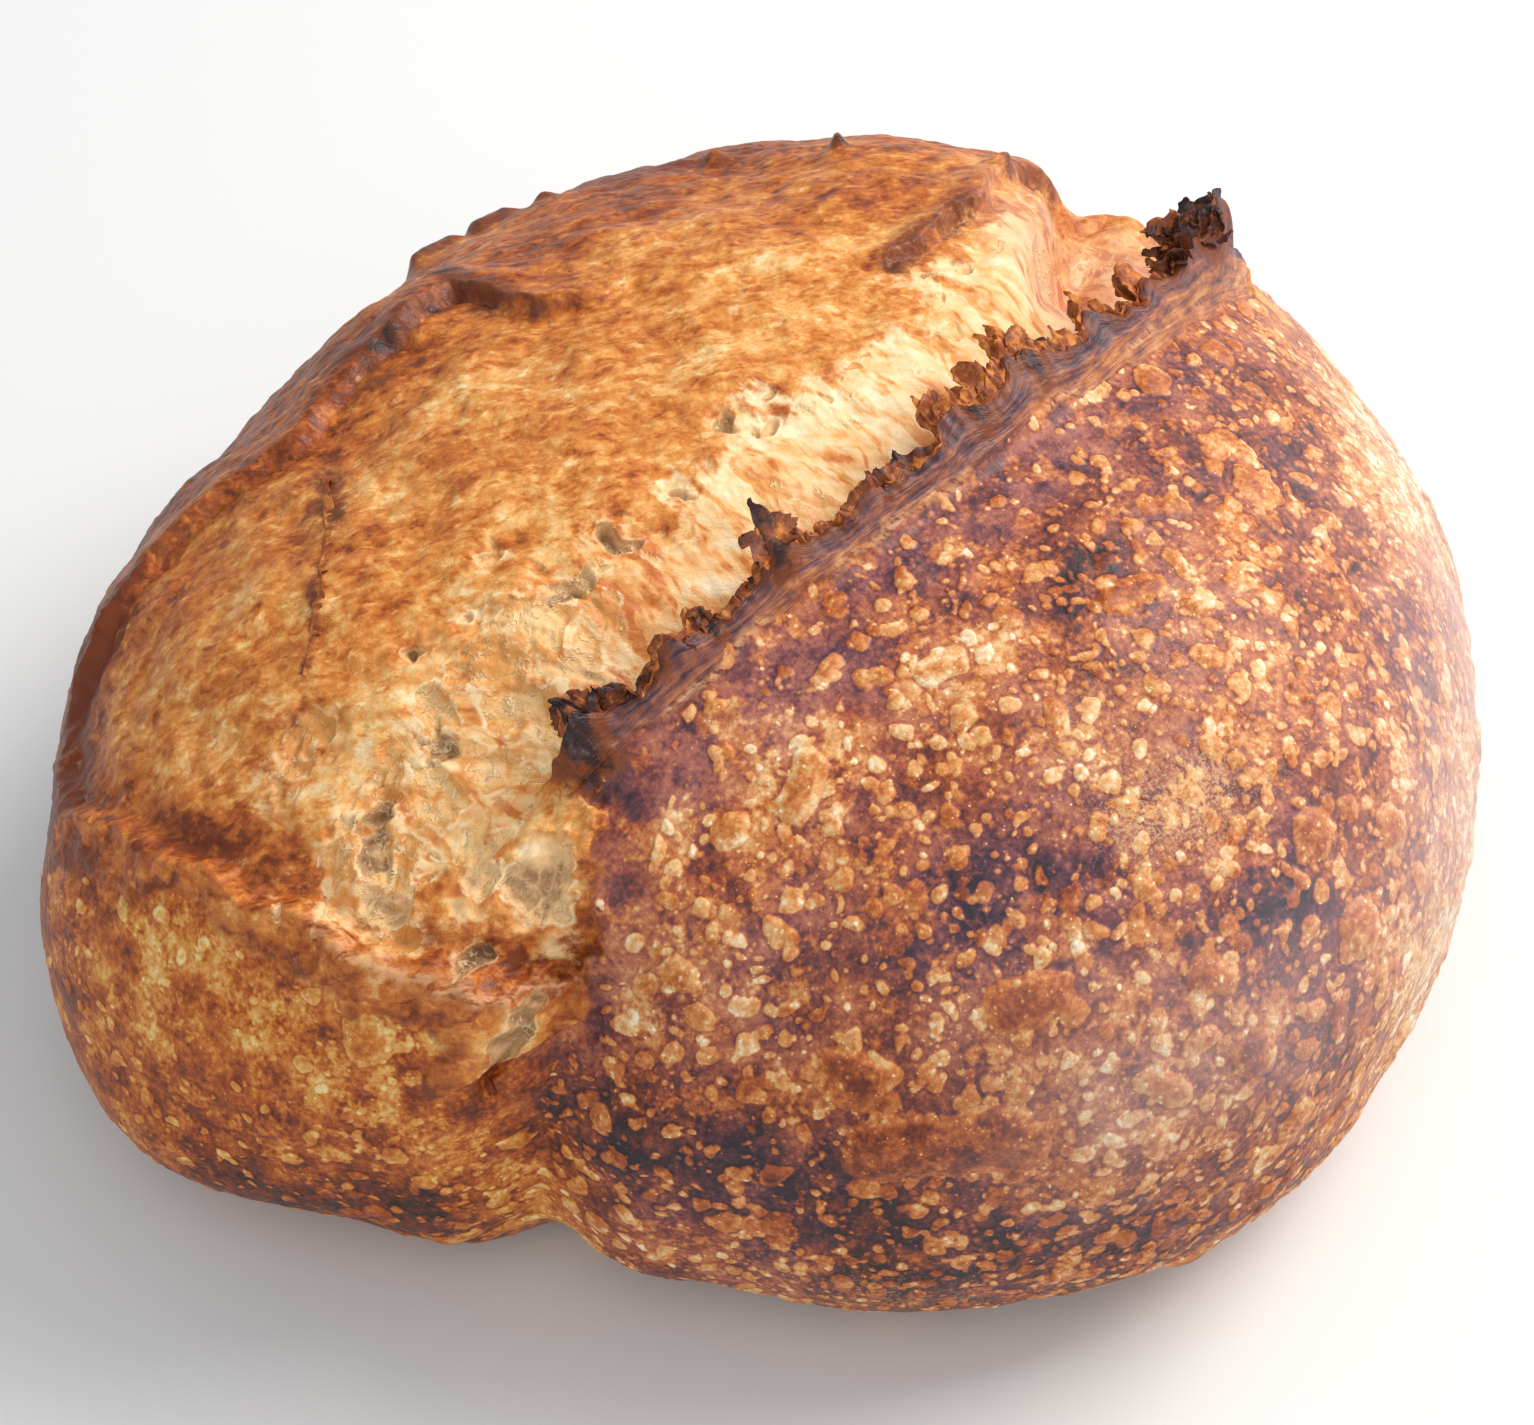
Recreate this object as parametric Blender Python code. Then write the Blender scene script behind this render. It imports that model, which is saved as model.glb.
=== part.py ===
"""A round sourdough loaf with one long slash, as one closed solid.

The loaf lies on its flat heel at z = 0. Its slash runs along X: the crust on the -Y side
has lifted into an ear that leans over the torn bloom on the +Y side. The surface is one
grid of sections (from the -X tip to the +X tip) and columns (once round the X axis, from
under the heel over the -Y side, the ear and the bloom, and down the +Y side).
"""

import bpy
import numpy as np

MM = 0.001
DEG = np.pi / 180

# Body: a round of dough, fuller than an egg above its girth and flat below it.
PLAN_RADIUS = 114 * MM
PLAN_SWELLS = (          # swells round the rim: how many, how high, bearing of one crest
    (1, 4.3 * MM, 149 * DEG),
    (2, 4.3 * MM, -22 * DEG),
    (3, 6.6 * MM, 34 * DEG),
    (4, 3.7 * MM, 69 * DEG),
)
GIRTH_HEIGHT = 40 * MM
CROWN_RISE = 66 * MM
BELLY_DROP = 50 * MM
CROWN_FULLNESS = 2.3
BELLY_FULLNESS = 3.0
HEEL_ROUND = 4 * MM
LOAF_MIDDLE = (-9.5 * MM, -3.4 * MM)     # middle of the finished loaf, which is the origin

# Swellings and dents of the body: centre, height along the surface, reach.
SWELLINGS = (
    ((-110 * MM, 74 * MM, 58 * MM), -5.0 * MM, 32 * MM),     # flatter near shoulder
    ((-118 * MM, 50 * MM, 48 * MM), 1.5 * MM, 26 * MM),      # edge of the near-end cap
    ((-122 * MM, 26 * MM, 26 * MM), 5.0 * MM, 36 * MM),      # full near-end cap
    ((-104 * MM, 0 * MM, 20 * MM), -4.0 * MM, 26 * MM),      # cap drawn in beside the furrow
    ((-70 * MM, -74 * MM, 25 * MM), 3.0 * MM, 30 * MM),      # low belly of the blistered dome
    ((10 * MM, -78 * MM, 88 * MM), 5.0 * MM, 45 * MM),       # crown of the blistered dome
    ((8 * MM, -113 * MM, 32 * MM), -2.5 * MM, 34 * MM),      # flatter front of the dome
    ((88 * MM, -40 * MM, 78 * MM), -3.0 * MM, 28 * MM),      # drop behind the ear's far end
    ((66 * MM, 42 * MM, 88 * MM), 4.0 * MM, 28 * MM),        # far crest of the bloom
    ((42 * MM, 62 * MM, 90 * MM), -6.0 * MM, 28 * MM),       # sunken old skin
    ((-22 * MM, 78 * MM, 92 * MM), 5.0 * MM, 26 * MM),       # shoulder of the bloom
)
# The furrow where the near-end cap meets the blistered dome, from the slash to the heel.
FURROW = ((-92 * MM, -35 * MM, 76 * MM), (-104 * MM, -36 * MM, 52 * MM),
          (-104 * MM, -34 * MM, 18 * MM), (-92 * MM, -31 * MM, 0.0))
FURROW_DEPTH = 7.5 * MM
FURROW_REACH = 14 * MM

# The slash: how far its line leans from straight above the X axis towards -Y.
SLASH_LEAN = 18 * DEG
SLASH_BEND = 1.0 * DEG
SLASH_BEND_SPAN = 50 * MM
SLASH_MIDDLE = 28 * MM
SLASH_LEAST_RADIUS = 40 * MM

# The ear in section, at its fullest: where a point starts across the slash, where it goes
# across the slash, and how high it stands. It starts in the crease behind the ear, climbs
# to the lip, turns under it to the root and runs out on the floor of the tear.
EAR_SECTION = (
    (-11 * MM, -11.0 * MM, 0.0 * MM),
    (-7 * MM, -7.0 * MM, -0.5 * MM),
    (-5 * MM, -4.8 * MM, 1.6 * MM),
    (-3 * MM, -2.6 * MM, 4.0 * MM),
    (-1 * MM, -0.4 * MM, 6.1 * MM),
    (0 * MM, 0.6 * MM, 6.6 * MM),
    (1 * MM, 0.4 * MM, 5.4 * MM),
    (3 * MM, -1.8 * MM, 3.0 * MM),
    (6 * MM, -3.6 * MM, 0.2 * MM),
    (10 * MM, 3.5 * MM, -0.8 * MM),
    (16 * MM, 13.5 * MM, -0.3 * MM),
    (22 * MM, 22.0 * MM, 0.0 * MM),
)
EAR_START = (-78 * MM, -70 * MM)
EAR_END = (86 * MM, 96 * MM)
EAR_FAR_RISE = (78 * MM, 20 * MM, 0.7)
# Torn flakes along the lip: middle and half width along X, how far they lean over, rise.
FLAKES = (
    (-67 * MM, 5.0 * MM, 2.5 * MM, 2.5 * MM),
    (-50 * MM, 4.0 * MM, 1.5 * MM, 3.0 * MM),
    (-30 * MM, 4.5 * MM, 2.0 * MM, 6.0 * MM),
    (-12 * MM, 4.0 * MM, 1.0 * MM, 1.5 * MM),
    (9 * MM, 6.0 * MM, 4.0 * MM, 2.0 * MM),
    (25 * MM, 7.0 * MM, 5.0 * MM, 2.5 * MM),
    (44 * MM, 5.0 * MM, 3.5 * MM, 1.5 * MM),
    (60 * MM, 4.5 * MM, 3.0 * MM, 1.5 * MM),
    (69 * MM, 5.0 * MM, 5.0 * MM, 8.0 * MM),                 # charred tuft, two lobes
    (78 * MM, 6.0 * MM, 4.0 * MM, 11.0 * MM),
)

# The valley of the tear beside the ear, deeper where it runs out over the far end.
VALLEY_WIDTH = 9 * MM
VALLEY_FAR_WIDTH = 24 * MM
VALLEY_REACH = 13 * MM
VALLEY_FAR_REACH = 7 * MM
VALLEY_DEPTH = 4.5 * MM
VALLEY_FAR_DEPTH = 12.0 * MM
VALLEY_WIDENING = (35 * MM, 75 * MM)
VALLEY_SPAN = (-106 * MM, -76 * MM, 80 * MM, 114 * MM)

# Outline of the bloom in plan: x, y and how high the crust's edge stands above it.
BLOOM_EDGE = (
    (-69 * MM, -19 * MM, 0.6 * MM),
    (-80 * MM, -28 * MM, 0.8 * MM),
    (-90 * MM, -34 * MM, 1.5 * MM),
    (-99 * MM, -22 * MM, 3.0 * MM),
    (-106 * MM, -6 * MM, 3.2 * MM),
    (-110 * MM, 12 * MM, 2.6 * MM),
    (-113 * MM, 34 * MM, 1.8 * MM),
    (-113 * MM, 55 * MM, 1.2 * MM),
    (-98 * MM, 72 * MM, 1.2 * MM),
    (-74 * MM, 77 * MM, 1.6 * MM),
    (-50 * MM, 68 * MM, 1.4 * MM),
    (-30 * MM, 72 * MM, 1.6 * MM),
    (-8 * MM, 74 * MM, 2.6 * MM),
    (-6 * MM, 56 * MM, 2.2 * MM),
    (18 * MM, 33 * MM, 1.4 * MM),
    (40 * MM, 17 * MM, 2.0 * MM),
    (60 * MM, 20 * MM, 2.6 * MM),
    (84 * MM, 30 * MM, 2.0 * MM),
    (103 * MM, 22 * MM, 1.6 * MM),
    (108 * MM, 2 * MM, 0.8 * MM),
    (100 * MM, -8 * MM, 0.4 * MM),
)
BLOOM_EDGE_OUTER = 9 * MM
BLOOM_EDGE_INNER = 7 * MM
BLOOM_SINK = 1.2 * MM

# Open bubbles torn in the bloom: x, y, half length, half width, bearing, depth.
BUBBLES = (
    (90 * MM, 17 * MM, 24 * MM, 8 * MM, 42 * DEG, 9.0 * MM),     # notch where the tear runs out
    (-91 * MM, 3 * MM, 8 * MM, 4 * MM, 60 * DEG, 2.6 * MM),
    (-87 * MM, -20 * MM, 7 * MM, 6 * MM, 20 * DEG, 2.2 * MM),
    (-96 * MM, -22 * MM, 9 * MM, 3 * MM, -35 * DEG, 2.2 * MM),
    (-71 * MM, -2 * MM, 8 * MM, 3 * MM, -30 * DEG, 2.0 * MM),
    (-94 * MM, 19 * MM, 5 * MM, 4 * MM, 60 * DEG, 1.6 * MM),
)

# The mesh.
SECTIONS = 84
HEEL_COLUMNS = 10
DOME_COLUMNS = 20
BLOOM_COLUMNS = 22
HEEL_SPREAD = 58 * DEG

CRUST_COLOR = (0.36, 0.15, 0.06, 1.0)
CRUST_ROUGHNESS = 0.62


def fade(value, start, end):
    """0 before start, 1 after end, and a smooth S between them."""
    share = np.clip((value - start) / (end - start), 0, 1)
    return share * share * (3 - 2 * share)


def hump(distance):
    """A bell of height 1 at 0 that is nearly flat beyond 1.5."""
    return np.exp(-distance * distance * 2)


def plan_radius(bearing):
    """Distance from the middle to the rim, seen from above."""
    radius = np.full_like(bearing, PLAN_RADIUS)
    for count, size, crest in PLAN_SWELLS:
        radius = radius + size * np.cos(count * (bearing - crest))
    return radius


def body_point(along, around):
    """Point of the smooth body: a superellipsoid on the rim, with its heel pressed flat."""
    side = np.sin(np.pi * along)
    x = -np.cos(np.pi * along) + 0 * around
    y = -side * np.sin(around)
    z = -side * np.cos(around)
    level = np.hypot(x, y) / plan_radius(np.arctan2(y, x))
    rise = np.where(z > 0, CROWN_RISE, BELLY_DROP)
    fullness = np.where(z > 0, CROWN_FULLNESS, BELLY_FULLNESS)
    reach = (level ** fullness + (np.abs(z) / rise) ** fullness) ** (-1 / fullness)
    point = np.stack([x * reach, y * reach, z * reach + GIRTH_HEIGHT], axis=-1)
    for centre, height, radius in SWELLINGS:
        away = point - np.array(centre)
        push = height * hump(np.linalg.norm(away, axis=-1) / radius)
        point = point + push[..., None] * np.stack([x, y, z * 0.5], axis=-1)
    low = point[..., 2]
    pressed = (np.clip(low, -HEEL_ROUND, HEEL_ROUND) + HEEL_ROUND) ** 2 / (4 * HEEL_ROUND)
    point[..., 2] = np.where(low > HEEL_ROUND, low, pressed)
    return point


def body_frame(along, around):
    """Point of the body, its direction across the slash and its outward normal."""
    step = 0.5 * DEG
    point = body_point(along, around)
    across = body_point(along, around + step) - body_point(along, around - step)
    forward = body_point(along + step / np.pi, around) - body_point(along - step / np.pi, around)
    across /= np.linalg.norm(across, axis=-1, keepdims=True)
    normal = np.cross(forward, across)
    normal /= np.linalg.norm(normal, axis=-1, keepdims=True)
    return point, across, normal


def slash_angle(along):
    """Angle round the X axis at which the slash crosses each section."""
    crown = body_point(along, np.full_like(along, np.pi))
    bend = ((crown[..., 0] - SLASH_MIDDLE) / SLASH_BEND_SPAN) ** 2
    return np.pi - SLASH_LEAN + SLASH_BEND * bend


def column_angles(along):
    """Angle of each column, and how far it starts from the slash, for every section."""
    slash = slash_angle(along)
    at_slash = body_point(along, slash)
    radius = np.hypot(at_slash[:, 1], at_slash[:, 2] - GIRTH_HEIGHT)
    radius = np.maximum(radius, SLASH_LEAST_RADIUS)
    starts = np.array([row[0] for row in EAR_SECTION])
    ear = slash[:, None] + starts[None] / radius[:, None]
    dome = np.linspace(0, 1, DOME_COLUMNS, endpoint=False)
    bloom = np.linspace(0, 1, BLOOM_COLUMNS + 1)[1:]
    heel = np.linspace(-HEEL_SPREAD, HEEL_SPREAD, HEEL_COLUMNS, endpoint=False)
    dome = HEEL_SPREAD + (ear[:, :1] - HEEL_SPREAD) * dome
    bloom = ear[:, -1:] + (2 * np.pi - HEEL_SPREAD - ear[:, -1:]) * bloom
    heel = np.broadcast_to(heel, (len(along), HEEL_COLUMNS))
    around = np.concatenate([heel, dome, ear, bloom[:, :-1]], axis=1)
    return around, (around - slash[:, None]) * radius[:, None]


def ear_amount(x):
    """1 along the ear, more near its far end, and 0 beyond its two ends."""
    middle, half, more = EAR_FAR_RISE
    return fade(x, *EAR_START) * (1 - fade(x, *EAR_END)) * (1 + more * hump((x - middle) / half))


def ear_shift(x, start):
    """How far the ear carries a point across the slash, and up."""
    knots, across, up = np.array(EAR_SECTION).T
    amount = ear_amount(x)
    lean = (np.interp(start, knots, across) - np.clip(start, knots[0], knots[-1])) * amount
    rise = np.interp(start, knots, up) * amount
    lip = hump(start / (3 * MM))
    for middle, half, over, high in FLAKES:
        flake = hump((x - middle) / half) * lip
        lean = lean + over * flake
        rise = rise + high * flake
    return lean, rise


def valley(x, start):
    """Depth of the tear's valley beside the ear."""
    begins, full, holds, ends = VALLEY_SPAN
    far = fade(x, *VALLEY_WIDENING)
    depth = VALLEY_DEPTH + (VALLEY_FAR_DEPTH - VALLEY_DEPTH) * far
    width = VALLEY_WIDTH + (VALLEY_FAR_WIDTH - VALLEY_WIDTH) * far
    span = fade(x, begins, full) * (1 - fade(x, holds, ends))
    reach = VALLEY_REACH + (VALLEY_FAR_REACH - VALLEY_REACH) * far
    bed = fade(start, -4 * MM, 4 * MM) * hump(np.maximum(start - width, 0) / reach)
    return -depth * span * bed


def near_segment(points, first, last):
    """Distance from points to one segment, and the share of it passed."""
    run = last - first
    share = np.clip(((points - first) @ run) / (run @ run), 0, 1)
    away = points - first - share[..., None] * run
    return np.linalg.norm(away, axis=-1), share


def bloom_edge(point):
    """Distance inside the bloom's outline (negative outside), and the edge's height there."""
    plan = point[..., :2]
    corners = np.array(BLOOM_EDGE)
    nearest = np.full(plan.shape[:-1], np.inf)
    height = np.zeros(plan.shape[:-1])
    inside = np.zeros(plan.shape[:-1], dtype=bool)
    for first, last in zip(corners, np.roll(corners, -1, axis=0)):
        distance, share = near_segment(plan, first[:2], last[:2])
        closer = distance < nearest
        nearest = np.where(closer, distance, nearest)
        height = np.where(closer, first[2] + (last[2] - first[2]) * share, height)
        spans = (first[1] > plan[..., 1]) != (last[1] > plan[..., 1])
        slope = (last[0] - first[0]) / (last[1] - first[1] + 1e-12)
        inside ^= spans & (plan[..., 0] < first[0] + slope * (plan[..., 1] - first[1]))
    inside &= point[..., 2] > GIRTH_HEIGHT
    return np.where(inside, nearest, -nearest), height


def bloom_relief(point):
    """The bloom lies a little below the crust, whose torn edge stands up round it."""
    depth, height = bloom_edge(point)
    upper = fade(point[..., 2], GIRTH_HEIGHT, GIRTH_HEIGHT + 10 * MM)
    rim = height * np.where(depth < 0, hump(depth / BLOOM_EDGE_OUTER), 1)
    drop = (height + BLOOM_SINK) * fade(depth, 0, BLOOM_EDGE_INNER)
    return (rim - drop) * upper + BLOOM_SINK * fade(depth, 10 * MM, 30 * MM) * upper


def bubble_relief(point):
    """Dents of the open bubbles."""
    relief = np.zeros(point.shape[:-1])
    for x, y, half_length, half_width, bearing, depth in BUBBLES:
        away_x = point[..., 0] - x
        away_y = point[..., 1] - y
        along = away_x * np.cos(bearing) + away_y * np.sin(bearing)
        across = away_y * np.cos(bearing) - away_x * np.sin(bearing)
        relief -= depth * hump(np.hypot(along / half_length, across / half_width))
    return relief * fade(point[..., 2], GIRTH_HEIGHT, GIRTH_HEIGHT + 25 * MM)


def furrow_relief(point):
    """The furrow between the near-end cap and the blistered dome."""
    nearest = np.full(point.shape[:-1], np.inf)
    for first, last in zip(FURROW[:-1], FURROW[1:]):
        distance = near_segment(point, np.array(first), np.array(last))[0]
        nearest = np.minimum(nearest, distance)
    return -FURROW_DEPTH * hump(nearest / FURROW_REACH)


def loaf_points():
    """All points of the loaf, section by section, without the two tips."""
    along = np.linspace(0, 1, SECTIONS + 1)[1:-1]
    around, start = column_angles(along)
    along = np.broadcast_to(along[:, None], around.shape)
    point, across, normal = body_frame(along, around)
    x = point[..., 0]
    lean, rise = ear_shift(x, start)
    rise = rise + valley(x, start) + bloom_relief(point)
    rise = rise + bubble_relief(point) + furrow_relief(point)
    rise = rise * fade(point[..., 2], 0, HEEL_ROUND)
    moved = point + lean[..., None] * across + rise[..., None] * normal
    moved[..., 2] = np.maximum(moved[..., 2], 0)
    return moved


def loaf_faces(sections, columns):
    """Quads between neighbouring sections, with a fan of triangles at each tip."""
    faces = []
    near_tip = sections * columns
    far_tip = near_tip + 1
    for column in range(columns):
        following = (column + 1) % columns
        faces.append((near_tip, column, following))
        last = (sections - 1) * columns
        faces.append((far_tip, last + following, last + column))
        for section in range(sections - 1):
            low = section * columns
            high = low + columns
            faces.append((low + column, high + column, high + following, low + following))
    return faces


def crust_material():
    """Baked crust, matt to satin."""
    material = bpy.data.materials.new("crust")
    material.use_nodes = True
    shader = material.node_tree.nodes["Principled BSDF"]
    shader.inputs["Base Color"].default_value = CRUST_COLOR
    shader.inputs["Roughness"].default_value = CRUST_ROUGHNESS
    shader.inputs["Metallic"].default_value = 0.0
    return material


def build_loaf():
    """The loaf as one closed mesh, its box centred on the origin in plan."""
    points = loaf_points()
    sections, columns = points.shape[:2]
    flat = points.reshape(-1, 3)
    tips = body_point(np.array([0.0, 1.0]), np.array([np.pi / 2, np.pi / 2]))
    flat = np.concatenate([flat, tips])
    flat[:, :2] -= LOAF_MIDDLE
    mesh = bpy.data.meshes.new("loaf")
    mesh.from_pydata(flat.tolist(), [], loaf_faces(sections, columns))
    mesh.validate()
    mesh.shade_smooth()
    mesh.materials.append(crust_material())
    loaf = bpy.data.objects.new("loaf", mesh)
    bpy.context.scene.collection.objects.link(loaf)
    return loaf


for leftover in list(bpy.data.objects):
    bpy.data.objects.remove(leftover)
build_loaf()
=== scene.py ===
"""Looks of a round sourdough loaf: one long slash, a charred ear, a torn bloom, blistered crust.

The loaf is one fine surface, worked out on a grid of sections (from the -X tip to the +X tip)
and columns (once round the X axis), and cut into tiles along its columns. All shapes and marks
are worked out in the dough's own frame, which the finished loaf's middle is then taken from.
"""

import logging
from dataclasses import dataclass
from enum import Enum

import bpy
import numpy as np
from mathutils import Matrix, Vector


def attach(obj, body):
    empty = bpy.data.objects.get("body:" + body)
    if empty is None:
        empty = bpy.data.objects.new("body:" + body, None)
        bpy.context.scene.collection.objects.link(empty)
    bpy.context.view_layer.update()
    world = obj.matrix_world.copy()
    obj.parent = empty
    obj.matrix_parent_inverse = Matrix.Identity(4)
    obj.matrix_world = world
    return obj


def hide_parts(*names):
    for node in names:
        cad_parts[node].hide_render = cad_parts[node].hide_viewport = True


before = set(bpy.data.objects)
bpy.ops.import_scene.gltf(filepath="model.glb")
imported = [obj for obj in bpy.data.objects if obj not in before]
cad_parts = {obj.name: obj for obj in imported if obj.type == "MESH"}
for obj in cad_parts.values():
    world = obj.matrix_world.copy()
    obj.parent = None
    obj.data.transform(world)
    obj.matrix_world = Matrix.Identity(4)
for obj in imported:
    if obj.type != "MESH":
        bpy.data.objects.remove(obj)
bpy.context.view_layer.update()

MM = 0.001
DEG = np.pi / 180
LATTICE = 256
BODY = "root"
NODE = "loaf"
BAKE_MAP = "OFBake"
LOOKS = (("Color", "Color"), ("Roughness", "Float"), ("Height", "Float"))    # a look's outputs
LIP_TOP = 113.5 * MM
LIP_LEAN = 0.75
LEAN_WAY = (-0.67, -0.6, 1.0)
LOG = logging.getLogger("loaf")

Array = np.ndarray
Place = tuple[float, float, float]
Piece = bpy.types.Object
Material = bpy.types.Material
Node = bpy.types.Node
Socket = bpy.types.NodeSocket


def mm(*sizes: float | tuple) -> tuple:
    """Sizes given in millimetres, also those inside of tuples, turned to metres."""
    return tuple(mm(*size) if isinstance(size, tuple) else size * MM for size in sizes)


def part_mm(lengths: int, *rows: tuple) -> tuple:
    """Rows of which the first few entries are in millimetres and the others plain numbers.

    Args:
        lengths: how many entries of each row are lengths, or lines made of places.
        rows: the rows.

    Returns:
        The same rows with those entries in metres.
    """
    return tuple((*mm(*row[:lengths]), *row[lengths:]) for row in rows)


def fade(value: Array, start: float, end: float) -> Array:
    """0 before start, 1 after end, and a smooth S between them: 3 s squared - 2 s cubed."""
    share = np.clip((value - start) / (end - start), 0, 1)
    return share * share * (3 - 2 * share)


def hump(distance: Array) -> Array:
    """A bell of height 1 at 0: e to the power of minus twice the distance squared."""
    return np.exp(-distance * distance * 2)


def fade_mm(value: Array, start: float, end: float) -> Array:
    """fade() of a length between a start and an end in millimetres."""
    return fade(value, start * MM, end * MM)


def bell_mm(value: Array, reach: float, middle: float = 0.0) -> Array:
    """hump() of a length's way from a middle, with middle and reach in millimetres."""
    return hump((value - middle * MM) / (reach * MM))


def smooth_through(knots: Array, values: Array, at: Array) -> Array:
    """Smooth curve through points: a cubic between each two knots, with their mean slopes.

    Args:
        knots: rising places of the points.
        values: heights of the points.
        at: places to read, held at the first and last knot.

    Returns:
        The curve's height at each place.
    """
    slopes = np.gradient(values, knots)
    at = np.clip(at, knots[0], knots[-1])
    low = np.clip(np.searchsorted(knots, at, side="right") - 1, 0, len(knots) - 2)
    gap = knots[low + 1] - knots[low]
    share = (at - knots[low]) / gap
    rest = 1 - share
    start = values[low] * (1 + 2 * share) + slopes[low] * gap * share
    end = values[low + 1] * (1 + 2 * rest) - slopes[low + 1] * gap * rest
    return start * rest * rest + end * share * share


def unit(vectors: Array) -> Array:
    """Vectors brought to length 1."""
    return vectors / np.linalg.norm(vectors, axis=-1, keepdims=True)


def way_along(places: Array) -> Array:
    """Length of the chain of straight runs from the first place to each place."""
    return np.concatenate([[0], np.cumsum(np.linalg.norm(np.diff(places, axis=0), axis=1))])


def read_at(spots: Array, knots: Array, values: Array) -> Array:
    """Values between knots, each of their columns by itself."""
    return np.stack([np.interp(spots, knots, column) for column in values.T], axis=-1)


def on_x(places: Array) -> Array:
    """Points on the X axis."""
    return np.stack([places, 0 * places, 0 * places], axis=-1)


def deeper_of(first: tuple, second: tuple) -> tuple:
    """Of two sets of arrays, point by point the one whose first array is larger."""
    larger = second[0] > first[0]
    return tuple(np.where(larger, new, old) for old, new in zip(first, second))


def near_line(points: Array, line: tuple[Place, ...]) -> Array:
    """Shortest distance from points to a chain of straight runs (or to its single point)."""
    stops = [np.array(place) for place in line]
    if len(stops) == 1:
        return np.linalg.norm(points - stops[0], axis=-1)
    nearest = np.full(points.shape[:-1], np.inf)
    for first, last in zip(stops[:-1], stops[1:]):
        run = last - first
        share = np.clip(((points - first) @ run) / (run @ run), 0, 1)
        away = points - first - share[..., None] * run
        nearest = np.minimum(nearest, np.linalg.norm(away, axis=-1))
    return nearest


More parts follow.
